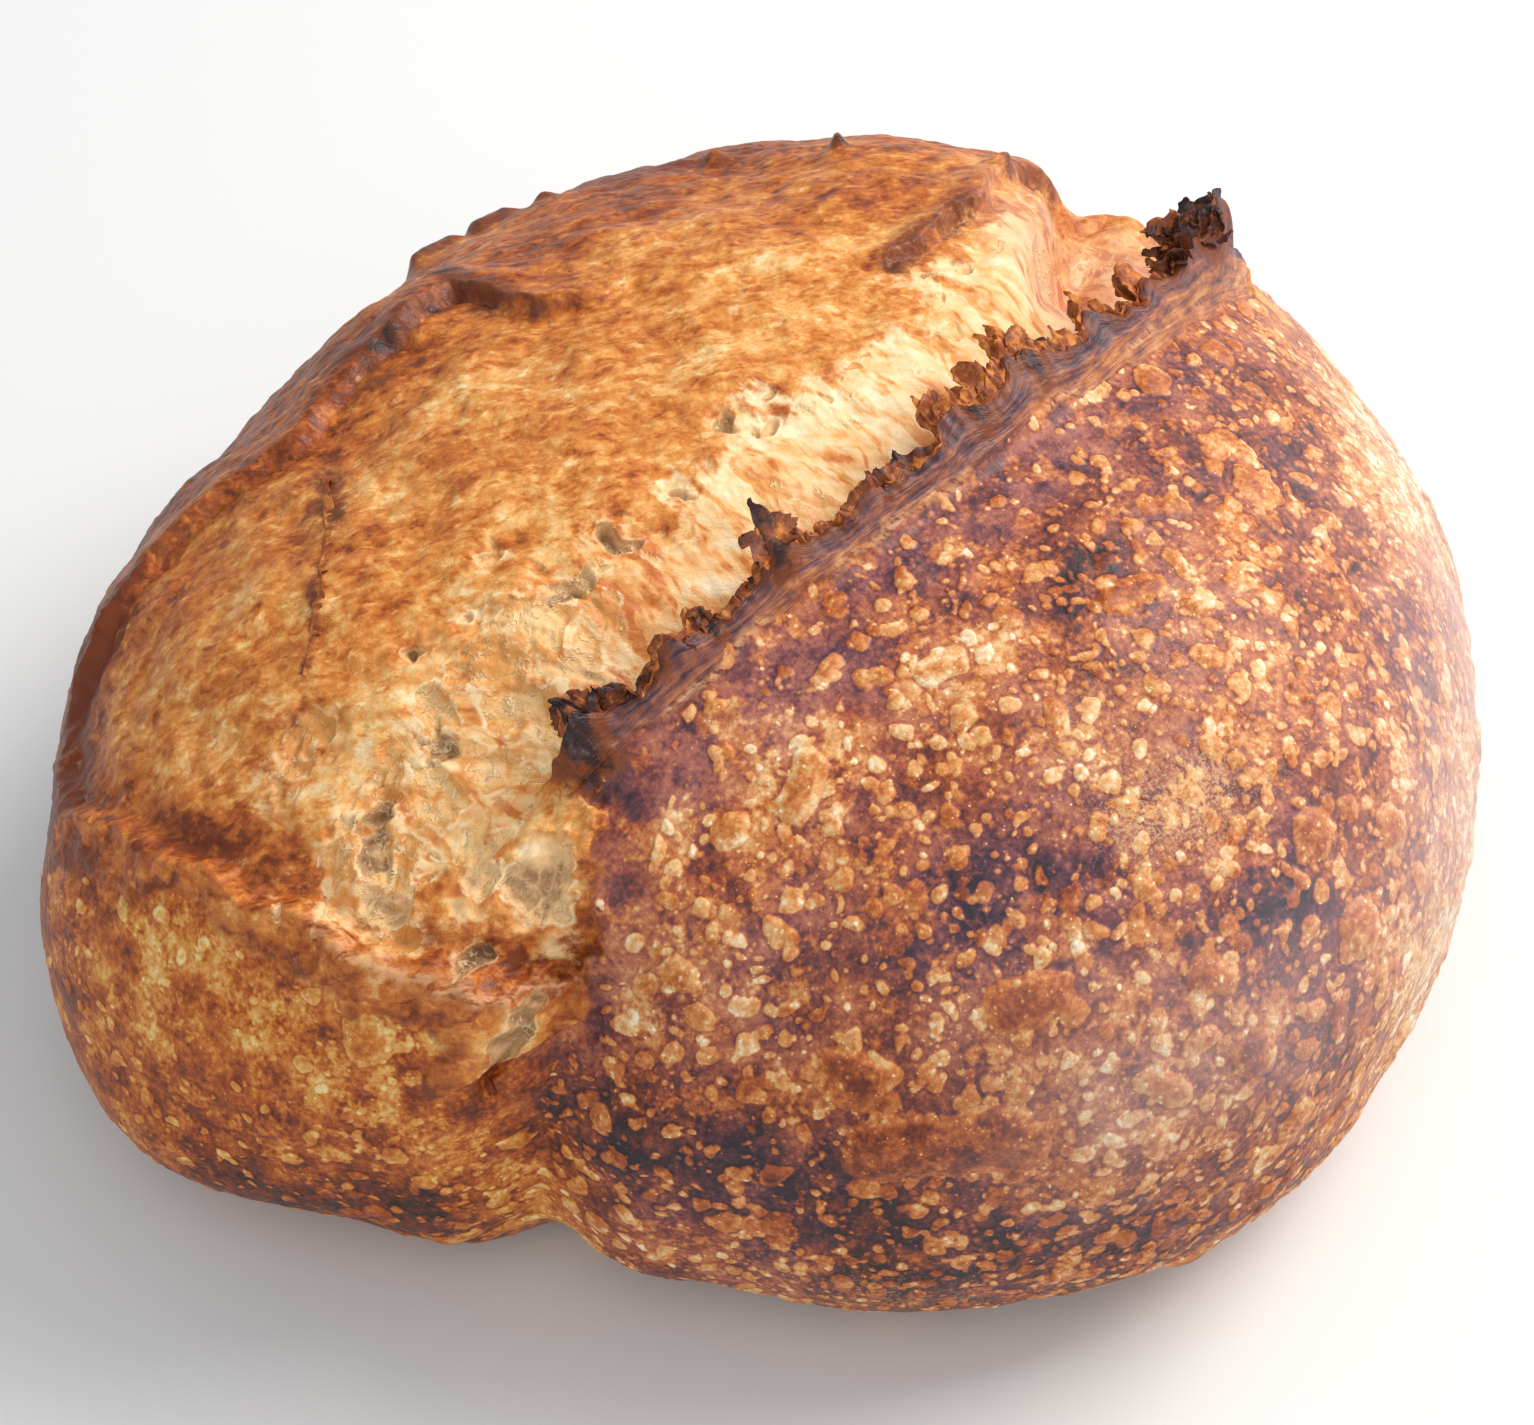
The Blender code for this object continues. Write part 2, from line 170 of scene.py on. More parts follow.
class Grain:
    """Seeded lattice: random slopes for smooth noise and random balls for spots."""

    def __init__(self, seed: int) -> None:
        """Draws the lattice's slopes and balls, and the order that they are picked in."""
        draw = np.random.default_rng(seed)
        slopes = draw.normal(size=(LATTICE, 3))
        self.order = np.tile(draw.permutation(LATTICE).astype(np.int32), 3)
        self.slopes = unit(slopes).astype(np.float32)
        self.balls = draw.random((LATTICE, 6)).astype(np.float32)

    @staticmethod
    def split(points: Array, length: float | Array, back: float) -> tuple[Array, Array]:
        """Lattice cell of each point and its place in the cell, each axis by itself."""
        spot = np.moveaxis(np.asarray(points / length, dtype=np.float32), -1, 0)
        base = np.floor(spot - back)
        return base.astype(np.int32) & (LATTICE - 1), spot - base

    def pick(self, cell: Array, corner: tuple[int, int, int]) -> Array:
        """Number of a cell's corner: its three coordinates looked up one after another."""
        first = self.order[cell[0] + corner[0]]
        second = self.order[first + cell[1] + corner[1]]
        return self.order[second + cell[2] + corner[2]]

    def wave(self, points: Array, length: float | Array) -> Array:
        """Smooth noise, about -1 to 1: eight corner slopes blended by an eased share.

        Args:
            points: places, in metres.
            length: length of a wave, or one length for each axis.

        Returns:
            The noise at each place.
        """
        cell, part = self.split(points, length, 0.0)
        ease = part * part * part * (part * (part * 6 - 15) + 10)
        weights = (1 - ease, ease)
        total = np.zeros(part.shape[1:], np.float32)
        for corner in np.ndindex(2, 2, 2):
            slope = self.slopes[self.pick(cell, corner)]
            level = sum((part[axis] - corner[axis]) * slope[..., axis] for axis in range(3))
            total += weights[corner[0]][0] * weights[corner[1]][1] * weights[corner[2]][2] * level
        return total * 1.7

    def waves(self, points: Array, length: float | Array, octaves: int = 3) -> Array:
        """Sum of waves, each half as long and half as high as the one before."""
        total = 0
        for octave in range(octaves):
            total = total + self.wave(points + 0.173 * octave, length / 2 ** octave) / 2 ** octave
        return total * 0.75

    def bend(self, points: Array, length: float, amount: float) -> Array:
        """Points pushed about by three waves, so that what is read there gets a ragged form."""
        push = [self.wave(points + shift, length) for shift in (0.0, 0.31, 0.57)]
        return points + amount * np.stack(push, axis=-1)

    def spots(self, points: Array, cell: float, least: float, most: float,
              filled: Array | float) -> tuple[Array, Array, Array]:
        """How far each point lies inside the random ball that it is deepest in.

        Each lattice cell holds one ball, at most half a cell in radius, so the eight cells
        round a point are enough.

        Args:
            points: places, in metres.
            cell: size of a lattice cell.
            least: smallest radius of a ball.
            most: largest radius of a ball.
            filled: share of the cells that hold a ball, also by place.

        Returns:
            The depth inside the ball in metres (negative outside), its radius and its tone.
        """
        lattice, part = self.split(points, cell, 0.5)
        depth = np.full(part.shape[1:], -cell, np.float32)
        radius = np.full(part.shape[1:], least, np.float32)
        tone = np.zeros(part.shape[1:], np.float32)
        for corner in np.ndindex(2, 2, 2):
            ball = self.balls[self.pick(lattice, corner)]
            size = least + (most - least) * ball[..., 3] ** 2
            away = sum((part[axis] - corner[axis] - ball[..., axis]) ** 2 for axis in range(3))
            inside = np.where(ball[..., 4] < filled, size - np.sqrt(away) * cell, -cell)
            depth, radius, tone = deeper_of((depth, radius, tone), (inside, size, ball[..., 5]))
        return depth, radius, tone

    def cells(self, points: Array, cell: float) -> tuple[Array, Array]:
        """Irregular cells, each the space nearest to one ball: half the gap to the next ball.

        Args:
            points: places, in metres.
            cell: mean size of a cell.

        Returns:
            How far each point lies from the wall beside it, and the tone of its cell.
        """
        lattice, part = self.split(points, cell, 0.5)
        nearest = np.full(part.shape[1:], 9.0, np.float32)
        second = nearest.copy()
        tone = np.zeros(part.shape[1:], np.float32)
        for corner in np.ndindex(2, 2, 2):
            ball = self.balls[self.pick(lattice, corner)]
            spread = sum((part[axis] - corner[axis] - 0.14 - 0.72 * ball[..., axis]) ** 2
                         for axis in range(3))
            away = np.sqrt(spread) - 0.3 * ball[..., 3]
            closer = away < nearest
            second = np.where(closer, nearest, np.minimum(second, away))
            nearest = np.where(closer, away, nearest)
            tone = np.where(closer, ball[..., 5], tone)
        return (second - nearest) * cell / 2, tone


@dataclass
class Dough:
    """The smooth round of dough: a superellipsoid on a swelling rim, with its heel pressed flat."""

    radius: float = 114 * MM
    rim_swells: tuple = (           # how many round the rim, how high, bearing of one crest
        (1, 4.3 * MM, 149 * DEG),
        (2, 4.3 * MM, -22 * DEG),
        (3, 6.6 * MM, 34 * DEG),
        (4, 3.7 * MM, 69 * DEG),
    )
    girth: float = 40 * MM
    crown: float = 66 * MM
    belly: float = 50 * MM
    crown_fullness: float = 2.3
    belly_fullness: float = 3.0
    heel_round: float = 4 * MM
    middle: tuple = mm(-9.5, -3.4)
    swellings: tuple = mm(  # centre, height along the surface, reach
        ((-110, 74, 58), -5.0, 32), ((-118, 50, 48), 1.5, 26), ((-122, 26, 26), 5.0, 36),
        ((-104, 0, 20), -4.0, 26), ((-70, -74, 25), 3.0, 30), ((10, -78, 88), 5.0, 45),
        ((8, -113, 32), -2.5, 34), ((88, -40, 78), -3.0, 28), ((66, 42, 88), 4.0, 28),
        ((42, 62, 90), -6.0, 28), ((-22, 78, 92), 5.0, 26),
    )

    def rim(self, bearing: Array) -> Array:
        """Distance from the middle to the rim, seen from above: a circle and its swells."""
        reach = np.full_like(bearing, self.radius)
        for count, size, crest in self.rim_swells:
            reach = reach + size * np.cos(count * (bearing - crest))
        return reach

    def point(self, along: Array, around: Array) -> Array:
        """Point of the body.

        A direction is turned from the -X tip by `along` half turns and round the X axis by
        `around`. Its length makes (level share to the fullness) + (height share to the
        fullness) equal 1. Swellings are then added, and what is low is pressed flat.

        Args:
            along: 0 at the -X tip to 1 at the +X tip.
            around: angle round the X axis, 0 at -Z and a quarter turn at -Y.

        Returns:
            Places in the dough's frame.
        """
        side = np.sin(np.pi * along)
        x = -np.cos(np.pi * along) + 0 * around
        y = -side * np.sin(around)
        z = -side * np.cos(around)
        level = np.hypot(x, y) / self.rim(np.arctan2(y, x))
        rise = np.where(z > 0, self.crown, self.belly)
        fullness = np.where(z > 0, self.crown_fullness, self.belly_fullness)
        reach = (level ** fullness + (np.abs(z) / rise) ** fullness) ** (-1 / fullness)
        point = np.stack([x * reach, y * reach, z * reach + self.girth], axis=-1)
        way = np.stack([x, y, z * 0.5], axis=-1)
        for centre, height, size in self.swellings:
            away = np.linalg.norm(point - np.array(centre), axis=-1)
            point = point + (height * hump(away / size))[..., None] * way
        low = point[..., 2]
        soft = self.heel_round
        pressed = (np.clip(low, -soft, soft) + soft) ** 2 / (4 * soft)
        point[..., 2] = np.where(low > soft, low, pressed)
        return point

    def frame(self, along: Array, around: Array) -> tuple[Array, Array, Array]:
        """Point of the body, its direction across the slash and its outward normal."""
        step = 0.5 * DEG
        point = self.point(along, around)
        across = self.point(along, around + step) - self.point(along, around - step)
        ahead = self.point(along + step / np.pi, around) - self.point(along - step / np.pi, around)
        across = unit(across)
        return point, across, unit(np.cross(ahead, across))


@dataclass
class Slash:
    """The slash: its line, the ear that leans over it and the valley beside the ear."""

    lean: float = 18 * DEG
    bend: float = 1.0 * DEG
    bend_span: float = 50 * MM
    middle: float = 28 * MM
    least_radius: float = 40 * MM
    section: tuple = mm(  # start across the slash, end across it, height
        (-11, -11.0, 0.1), (-7.5, -7.5, 0.1), (-5.5, -5.5, 0.3), (-4.2, -4.1, 1.3), (-2.6, -2.3, 3.7),
        (-1, -0.5, 6.0), (0, 0.6, 6.6), (1, 0.4, 5.4), (3, -1.8, 3.0), (6, -3.6, 0.2), (10, 3.5, -0.8),
        (16, 13.5, -0.3), (22, 22.0, 0.0),
    )
    begin: tuple = mm(-78, -70)
    end: tuple = mm(86, 96)
    far_rise: tuple = (78 * MM, 20 * MM, 0.7)
    flakes: tuple = mm(  # middle and half width along X, lean, rise
        (-67, 5.0, 2.5, 2.5), (-50, 4.0, 1.5, 3.0), (-30, 4.5, 2.0, 6.0), (-12, 4.0, 1.0, 1.5),
        (9, 6.0, 4.0, 2.0), (25, 7.0, 5.0, 2.5), (44, 5.0, 3.5, 1.5), (60, 4.5, 3.0, 1.5),
        (70, 4.0, 5.0, 6.0), (78, 4.6, 4.0, 9.0),
    )
    lip_width: float = 3 * MM
    tatter: float = 1.3 * MM
    tatter_width: float = 2.2 * MM
    valley_width: tuple = mm(9, 24)
    valley_reach: tuple = mm(13, 7)
    valley_depth: tuple = mm(4.5, 12.0)
    valley_widening: tuple = mm(35, 75)
    valley_span: tuple = mm(-106, -76, 80, 114)

    def angle(self, dough: Dough, along: Array) -> Array:
        """Angle round the X axis of the slash: its lean, and more with the way from its middle."""
        crown = dough.point(along, np.full_like(along, np.pi))[..., 0]
        return np.pi - self.lean + self.bend * ((crown - self.middle) / self.bend_span) ** 2

    def amount(self, x: Array) -> Array:
        """1 along the ear, more near its far end and 0 beyond its ends."""
        middle, half, more = self.far_rise
        span = fade(x, *self.begin) * (1 - fade(x, *self.end))
        return span * (1 + more * hump((x - middle) / half))

    def shift(self, x: Array, start: Array, grain: Grain) -> tuple[Array, Array]:
        """How far the ear carries a point across the slash, and up.

        The section's smooth curve is scaled by the ear's amount. Bells along the lip add its
        larger flakes, and short waves along X tatter its edge.

        Args:
            x: place along the slash.
            start: where the point starts, across the slash.
            grain: lattice for the tatters.

        Returns:
            The shift across the slash, and the rise.
        """
        knots, across, up = np.array(self.section).T
        amount = self.amount(x)
        lean = (smooth_through(knots, across, start) - np.clip(start, knots[0], knots[-1])) * amount
        rise = smooth_through(knots, up, start) * amount
        lip = hump(start / self.lip_width)
        for middle, half, over, high in self.flakes:
            flake = hump((x - middle) / half) * lip
            lean = lean + over * flake
            rise = rise + high * flake
        edge = hump(start / self.tatter_width) * np.minimum(amount, 1) * self.tatter
        edge = edge * (1 - fade_mm(x, 78, 88))
        line = on_x(x)
        ragged = grain.wave(line, 7 * MM) + 0.8 * grain.wave(line + 0.21, 3.1 * MM)
        ragged = ragged + 0.7 * grain.wave(line + 0.43, 1.5 * MM)
        lift = grain.wave(line + 0.77, 5 * MM) + 0.6 * grain.wave(line + 0.91, 2 * MM)
        return lean + edge * ragged, rise + edge * lift * 0.8

    def valley(self, x: Array, start: Array) -> Array:
        """Depth of the tear beside the ear: a flat bed with a bell's flank, deeper far off."""
        begins, full, holds, ends = self.valley_span
        far = fade(x, *self.valley_widening)
        width, reach, depth = (near + (beyond - near) * far for near, beyond in (
            self.valley_width, self.valley_reach, self.valley_depth))
        span = fade(x, begins, full) * (1 - fade(x, holds, ends))
        bed = fade_mm(start, -4, 4) * hump(np.maximum(start - width, 0) / reach)
        return -depth * span * bed


@dataclass
class Bloom:
    """The torn bloom: its outline, the golden skin, the pale crumb and its open bubbles."""

    outline: tuple = mm(  # x, y, height of the crust's edge above the bloom
        (-69, -19, -0.6), (-80, -28, -0.5), (-90, -34, 1.0), (-99, -22, 3.0), (-106, -6, 3.2),
        (-110, 12, 2.6), (-113, 34, 1.8), (-113, 55, 1.2), (-98, 72, 1.2), (-74, 77, 1.6), (-50, 68, 1.4),
        (-30, 72, 1.6), (-8, 74, 2.6), (-6, 56, 1.8), (3, 47, -0.5), (18, 33, -0.9), (31, 23, -0.6),
        (42, 17, 1.4), (60, 20, 2.6), (84, 30, 2.0), (103, 22, 1.6), (108, 2, 0.8), (100, -8, 0.4),
    )
    under_ear: tuple = mm(  # closes the outline behind the ear, for the colours
        (94, -20, 0.0), (80, -50, 0.0), (-60, -50, 0.0),
    )
    edge_outer: float = 9 * MM
    edge_inner: float = 2.4 * MM
    sink: float = 1.2 * MM
    ragged: float = 1.6 * MM
    dents: tuple = (                # x, y, half length, half width, bearing, depth
        (90 * MM, 17 * MM, 24 * MM, 8 * MM, 42 * DEG, 9.0 * MM),
    )
    lumps: tuple = mm(  # line seen from above, reach, height of the rim's lumps
        (((5, 95.4), (12, 95.4)), 3.4, 3.2), (((18, 94.6), (23, 93.7)), 3.6, 2.8),
        (((28, 88.5),), 3.4, 1.8), (((52.4, 70.6),), 3.0, 1.8), (((61.8, 50.4), (63, 51.5)), 1.9, 2.6),
        (((77.1, 27.4),), 3.0, 1.6),
    )
    crumb_edge: tuple = mm(  # x, how far the pale crumb runs from the slash
        (-112, 3), (-105, 12), (-98, 19), (-90, 22), (-70, 25), (-50, 25), (-27, 22), (-3, 24), (30, 27),
        (60, 33), (75, 34), (95, 30),
    )
    grain_bearing: float = -40 * DEG
    foam: tuple = part_mm(3,  # cell, wall, depth, share of the cells that are open
        (9.5, 0.6, 0.9, 0.5), (5.2, 0.5, 0.55, 0.44), (3.0, 0.35, 0.32, 0.4),
    )
    tears: tuple = mm(  # line and reach of tears outside the outline
        (((-95, -27.8, 73.8), (-101, -28.3, 66.8), (-104, -27.5, 61.8), (-106, -25.5, 54)), 8),
    )
    islands: tuple = mm(  # line and reach of golden skin within the crumb
        (((-89, -8, 84.5), (-93, -6, 83), (-98, -12, 80.1)), 4.5), (((-86, 14, 90), (-97, 11, 84)), 4.0),
    )
    holes: tuple = part_mm(3,  # line, half width, depth, greyness (the bubble's own grey-tan, partly painted shade inside it)
        (((-79, 3, 92), (-87, 6.5, 88), (-98, 2, 82.6)), 3.5, 3.2, 1.0),
        (((-88.5, 21.5, 90), (-95.5, 20, 84.5)), 3.8, 1.6, 0.1),
        (((-102.5, -9.1, 79.9),), 2.8, 1.4, 0.0), (((-84, -20.4, 82.8),), 6.5, 3.0, 0.72),
        (((-89.4, -12.6, 84.7),), 3.6, 1.6, 0.6),
        (((-101, -16.6, 78.6), (-89, -24.2, 76.4)), 1.3, 2.2, 1.0),
        (((-88.2, -25.6, 76.7),), 4.0, 1.6, 0.55), (((-72.1, 17.7, 97.5),), 1.8, 1.8, 0.9),
        (((-53.5, 8.5, 101.6), (-50.5, 5.5, 101.6)), 1.8, 1.8, 0.9),
        (((-65.5, 16.5, 99.6), (-63, 14, 99.6)), 1.1, 1.2, 0.8),
        (((-70, 3.5, 95.5), (-59, -5.5, 96)), 3.6, 1.8, 0.35), (((-76.5, 9, 95.3),), 3.8, 1.4, 0.3),
        (((-58.5, -1, 96.8), (-54, -5, 96)), 2.0, 1.8, 0.8), (((-71, -8, 92),), 3.4, 1.8, 0.4),
        (((-110.3, 7.8, 80),), 2.0, 1.6, 0.8), (((-100.3, -4.9, 80.4),), 4.4, 1.6, 0.6),
        (((-40, 8.5, 103.7), (-36.5, 3, 103)), 1.5, 1.8, 0.9),
        (((-12, 9, 105.4), (-9, 7, 105.4)), 2.0, 2.0, 0.9), (((-6.5, 5, 105.4),), 1.9, 1.8, 0.8),
        (((-3, 8.5, 105.4),), 1.2, 1.2, 0.7), (((39, 11, 101.6), (45, 8, 101)), 1.8, 1.6, 0.8),
        (((-26.2, 7, 104.6), (-26.4, 3.5, 104.6)), 0.9, 1.2, 0.9),
        (((-53.9, 18.9, 101.7),), 1.8, 1.1, 0.4),
        (((-95.5, -27.8, 73.8), (-101, -28.3, 66.8), (-104, -27.5, 61.8), (-106, -25.5, 55)),
         1.9, 2.2, 0.9),
    )

    def sides(self) -> tuple:
        """The outline with the stretch under the ear added, for the colours."""
        return self.outline + self.under_ear

    def inside(self, plan: Array, corners: tuple) -> tuple[Array, Array]:
        """How far plan points lie inside an outline, and the edge's height beside them.

        Args:
            plan: points seen from above.
            corners: x, y and edge height of each corner.

        Returns:
            Distance to the nearest side, negative outside, and the height there.
        """
        stops = np.array(corners)
        nearest = np.full(plan.shape[:-1], np.inf)
        height = np.zeros(plan.shape[:-1])
        within = np.zeros(plan.shape[:-1], dtype=bool)
        for first, last in zip(stops, np.roll(stops, -1, axis=0)):
            run = last[:2] - first[:2]
            share = np.clip(((plan - first[:2]) @ run) / (run @ run), 0, 1)
            distance = np.linalg.norm(plan - first[:2] - share[..., None] * run, axis=-1)
            closer = distance < nearest
            nearest = np.where(closer, distance, nearest)
            height = np.where(closer, first[2] + (last[2] - first[2]) * share, height)
            crosses = (first[1] > plan[..., 1]) != (last[1] > plan[..., 1])
            slope = run[0] / (run[1] + 1e-12)
            within ^= crosses & (plan[..., 0] < first[0] + slope * (plan[..., 1] - first[1]))
        return np.where(within, nearest, -nearest), height

    def flow(self, points: Array, grain: Grain) -> Array:
        """Places measured along the torn fibres, across them and up, gently bent."""
        bent = grain.bend(points, 34 * MM, 5 * MM)
        cos, sin = np.cos(self.grain_bearing), np.sin(self.grain_bearing)
        along = bent[..., 0] * cos + bent[..., 1] * sin
        across = bent[..., 1] * cos - bent[..., 0] * sin
        return np.stack([along, across, bent[..., 2]], axis=-1)


@dataclass
class Crust:
    """The old crust: where it is dark, purple, floury, and how thickly its blisters lie."""

    layers: tuple = part_mm(3,  # cell, least and most radius, filled
        (10.5, 2.0, 4.6, 0.55), (5.4, 1.0, 2.6, 0.8), (5.1, 0.9, 2.4, 0.8), (3.9, 0.8, 1.8, 0.9),
        (3.7, 0.7, 1.7, 0.9), (2.7, 0.5, 1.25, 0.9), (2.5, 0.45, 1.15, 0.9),
    )
    blister_rise: float = 0.25
    tallest: float = 1.3 * MM
    marked: tuple = part_mm(2,  # line, radius, tone of the blisters that stand out
        (((-51.8, -81.8, 77), (-47, -85, 78)), 4.0, 0.12), (((-71.3, -69.1, 68),), 5.4, 0.1),
        (((-41.5, -100.5, 66), (-38, -103.5, 62.5)), 2.5, 0.55),
        (((-72, -75.7, 57.5), (-60, -89, 59.5)), 6.0, 0.02), (((-56.9, -91.5, 59.8),), 3.4, 0.28),
        (((-54.5, -43, 93.5), (-49.5, -41.5, 96)), 3.2, 0.55), (((-62.9, -37.8, 91.4),), 3.0, 0.55),
        (((-17.5, -31.9, 103.9),), 2.2, 0.8), (((-27, -44.5, 101), (-23.5, -46, 101)), 2.1, 0.6),
        (((-0.8, -97.4, 83.6),), 4.2, 0.3), (((-79.5, -43.1, 78),), 3.1, 0.35),
        (((-80.4, -36, 80.6),), 2.0, 0.75), (((-35.3, -33, 101.1), (-38.5, -33.5, 100)), 1.7, 0.6),
        (((2, -56, 101.5), (9, -58, 101.2)), 2.6, 0.2),
    )
    dark: tuple = part_mm(2,  # line, reach, amount of the darker patches: scorched crust, and at the low patches of the near end partly painted shade
        (((-4, -50, 102), (8, -52, 102)), 6, 0.42), (((-49, -70, 87), (-38, -74, 89)), 12, 0.38),
        (((-8.9, -99.5, 81), (-18, -100, 79)), 9, 0.36), (((-43.3, -83.9, 81),), 9, 0.2),
        (((-93, -47, 52), (-80, -68, 46)), 20, 0.42), (((-72, -84, 36), (-40, -108, 34)), 18, 0.3),
        (((-111, -20, 28), (-126, 6, 24)), 16, 0.3), (((-118, 0, 44), (-112, -18, 40)), 14, 0.08),
        (((-116, 34, 70), (-114, 56, 64)), 9, 0.14),
        (((-70, -24, 92), (-80, -32, 84), (-88, -33, 70)), 5, 0.26),
        (((70, -52, 90), (30, -46, 102)), 9, 0.12), (((34, -32, 102), (58, -34, 96)), 8, 0.16),
    )
    light: tuple = part_mm(2,  # line, reach, amount of the paler stretches
        (((64.8, -67, 79), (100, -30, 62)), 26, 0.3), (((60, -95, 50), (20, -112, 44)), 26, 0.3),
        (((95, -60, 40), (50, -105, 25)), 24, 0.2), (((-70, -30, 89), (-20, -48, 100)), 10, 0.14),
        (((-116, -4, 56), (-120, 20, 60)), 12, 0.12),
        (((-112, -8, 72), (-118, 14, 70), (-119, 30, 66)), 7, 0.14),
        (((-120, 45, 56), (-128, 20, 52)), 15, 0.12), (((-107, -22, 46), (-100, -38, 14)), 9, 0.22),
    )
    plum: tuple = part_mm(2,  # line, reach, amount of the purple stretches
        (((-60, -27, 96), (-40, -31, 100)), 11, 0.8), (((-20, -29, 104), (60, -33, 98)), 9, 0.6),
        (((-49, -70, 87), (-8.9, -99.5, 81)), 16, 0.7),
    )
    flour: tuple = part_mm(2,  # line, reach, amount of the dust
        (((-20.5, -81.7, 91), (-10, -84, 92)), 12, 0.8), (((-96, -66, 26), (-70, -92, 20)), 16, 0.6),
        (((-20, -66, 96), (6, -66, 99)), 10, 0.35),
    )
    haze: tuple = part_mm(2,  # line, reach, amount of the pale bluish painted sheen on the crust, and of painted shade on the far crumb
        (((95, -60, 45), (40, -105, 40)), 34, 0.36), (((64.8, -67, 79), (100, -30, 62)), 30, 0.12),
        (((20, -104, 66), (60, -86, 66)), 30, 0.3), (((68, 9, 92), (92, 8, 80)), 18, 0.24),
        (((-45, -97, 64), (-20, -106, 66)), 24, 0.25),
    )
    smooth: tuple = part_mm(2,  # line, reach, how far the blisters are thinned out
        (((-66, -24, 94), (-80, -33, 84), (-88, -34, 70)), 7, 0.85),
    )

    def thickness(self, points: Array, start: Array) -> Array:
        """How thickly blisters lie, 0 to 1: thick low on the -Y side, thin beside the slash."""
        low_right = fade_mm(-points[..., 1], 45, 105)
        cap = fade_mm(-points[..., 0], 98, 116)
        thick = 0.72 + 0.38 * low_right * (1 - 0.5 * cap) - 0.24 * cap
        thick = thick * (0.5 + 0.5 * fade_mm(-start, 6, 24)) - self.patches(points, self.smooth)
        return np.clip(thick, 0, 1)

    def blisters(self, points: Array, thick: Array, grain: Grain) -> tuple[Array, Array, Array]:
        """Depth inside the blisters, their rise and tone.

        Balls of seven sizes and the marked lines' tubes are read at bent places; a point takes
        the ball that it is deepest in. The rise is a flat-topped dome: a share of the radius
        times one minus the square of the way left to the middle.

        Args:
            points: places in the dough's frame.
            thick: how thickly blisters lie.
            grain: lattice of the balls.

        Returns:
            Depth inside in metres (negative outside), rise in metres and tone from 0 to 1.
        """
        bent = grain.bend(grain.bend(points, 5 * MM, 1.1 * MM), 1.7 * MM, 0.36 * MM)
        depth = np.full(points.shape[:-1], -3 * MM)
        radius = np.full(points.shape[:-1], MM)
        tone = np.zeros(points.shape[:-1])
        for turn, (cell, least, most, filled) in enumerate(self.layers):
            inside, size, lot = grain.spots(bent + 0.037 * turn, cell, least, most, filled * thick)
            lot = lot * 0.6 + 0.07 * turn
            depth, radius, tone = deeper_of((depth, radius, tone), (inside, size, lot))
        for line, reach, shade in self.marked:
            inside = reach - near_line(bent, line)
            deeper = inside > np.minimum(depth, reach * 0.4)
            depth = np.where(deeper, inside, depth)
            radius = np.where(deeper, reach, radius)
            tone = np.where(deeper, shade, tone)
        share = np.clip(depth / radius, 0, 1)
        rise = np.minimum(self.blister_rise * radius, self.tallest) * (1 - (1 - share) ** 2) ** 0.8
        return depth, rise, tone

    def patches(self, points: Array, marks: tuple) -> Array:
        """Sum of soft patches: a bell of the distance to each mark's line."""
        total = np.zeros(points.shape[:-1])
        for line, reach, amount in marks:
            total = total + amount * hump(near_line(points, line) / reach)
        return total


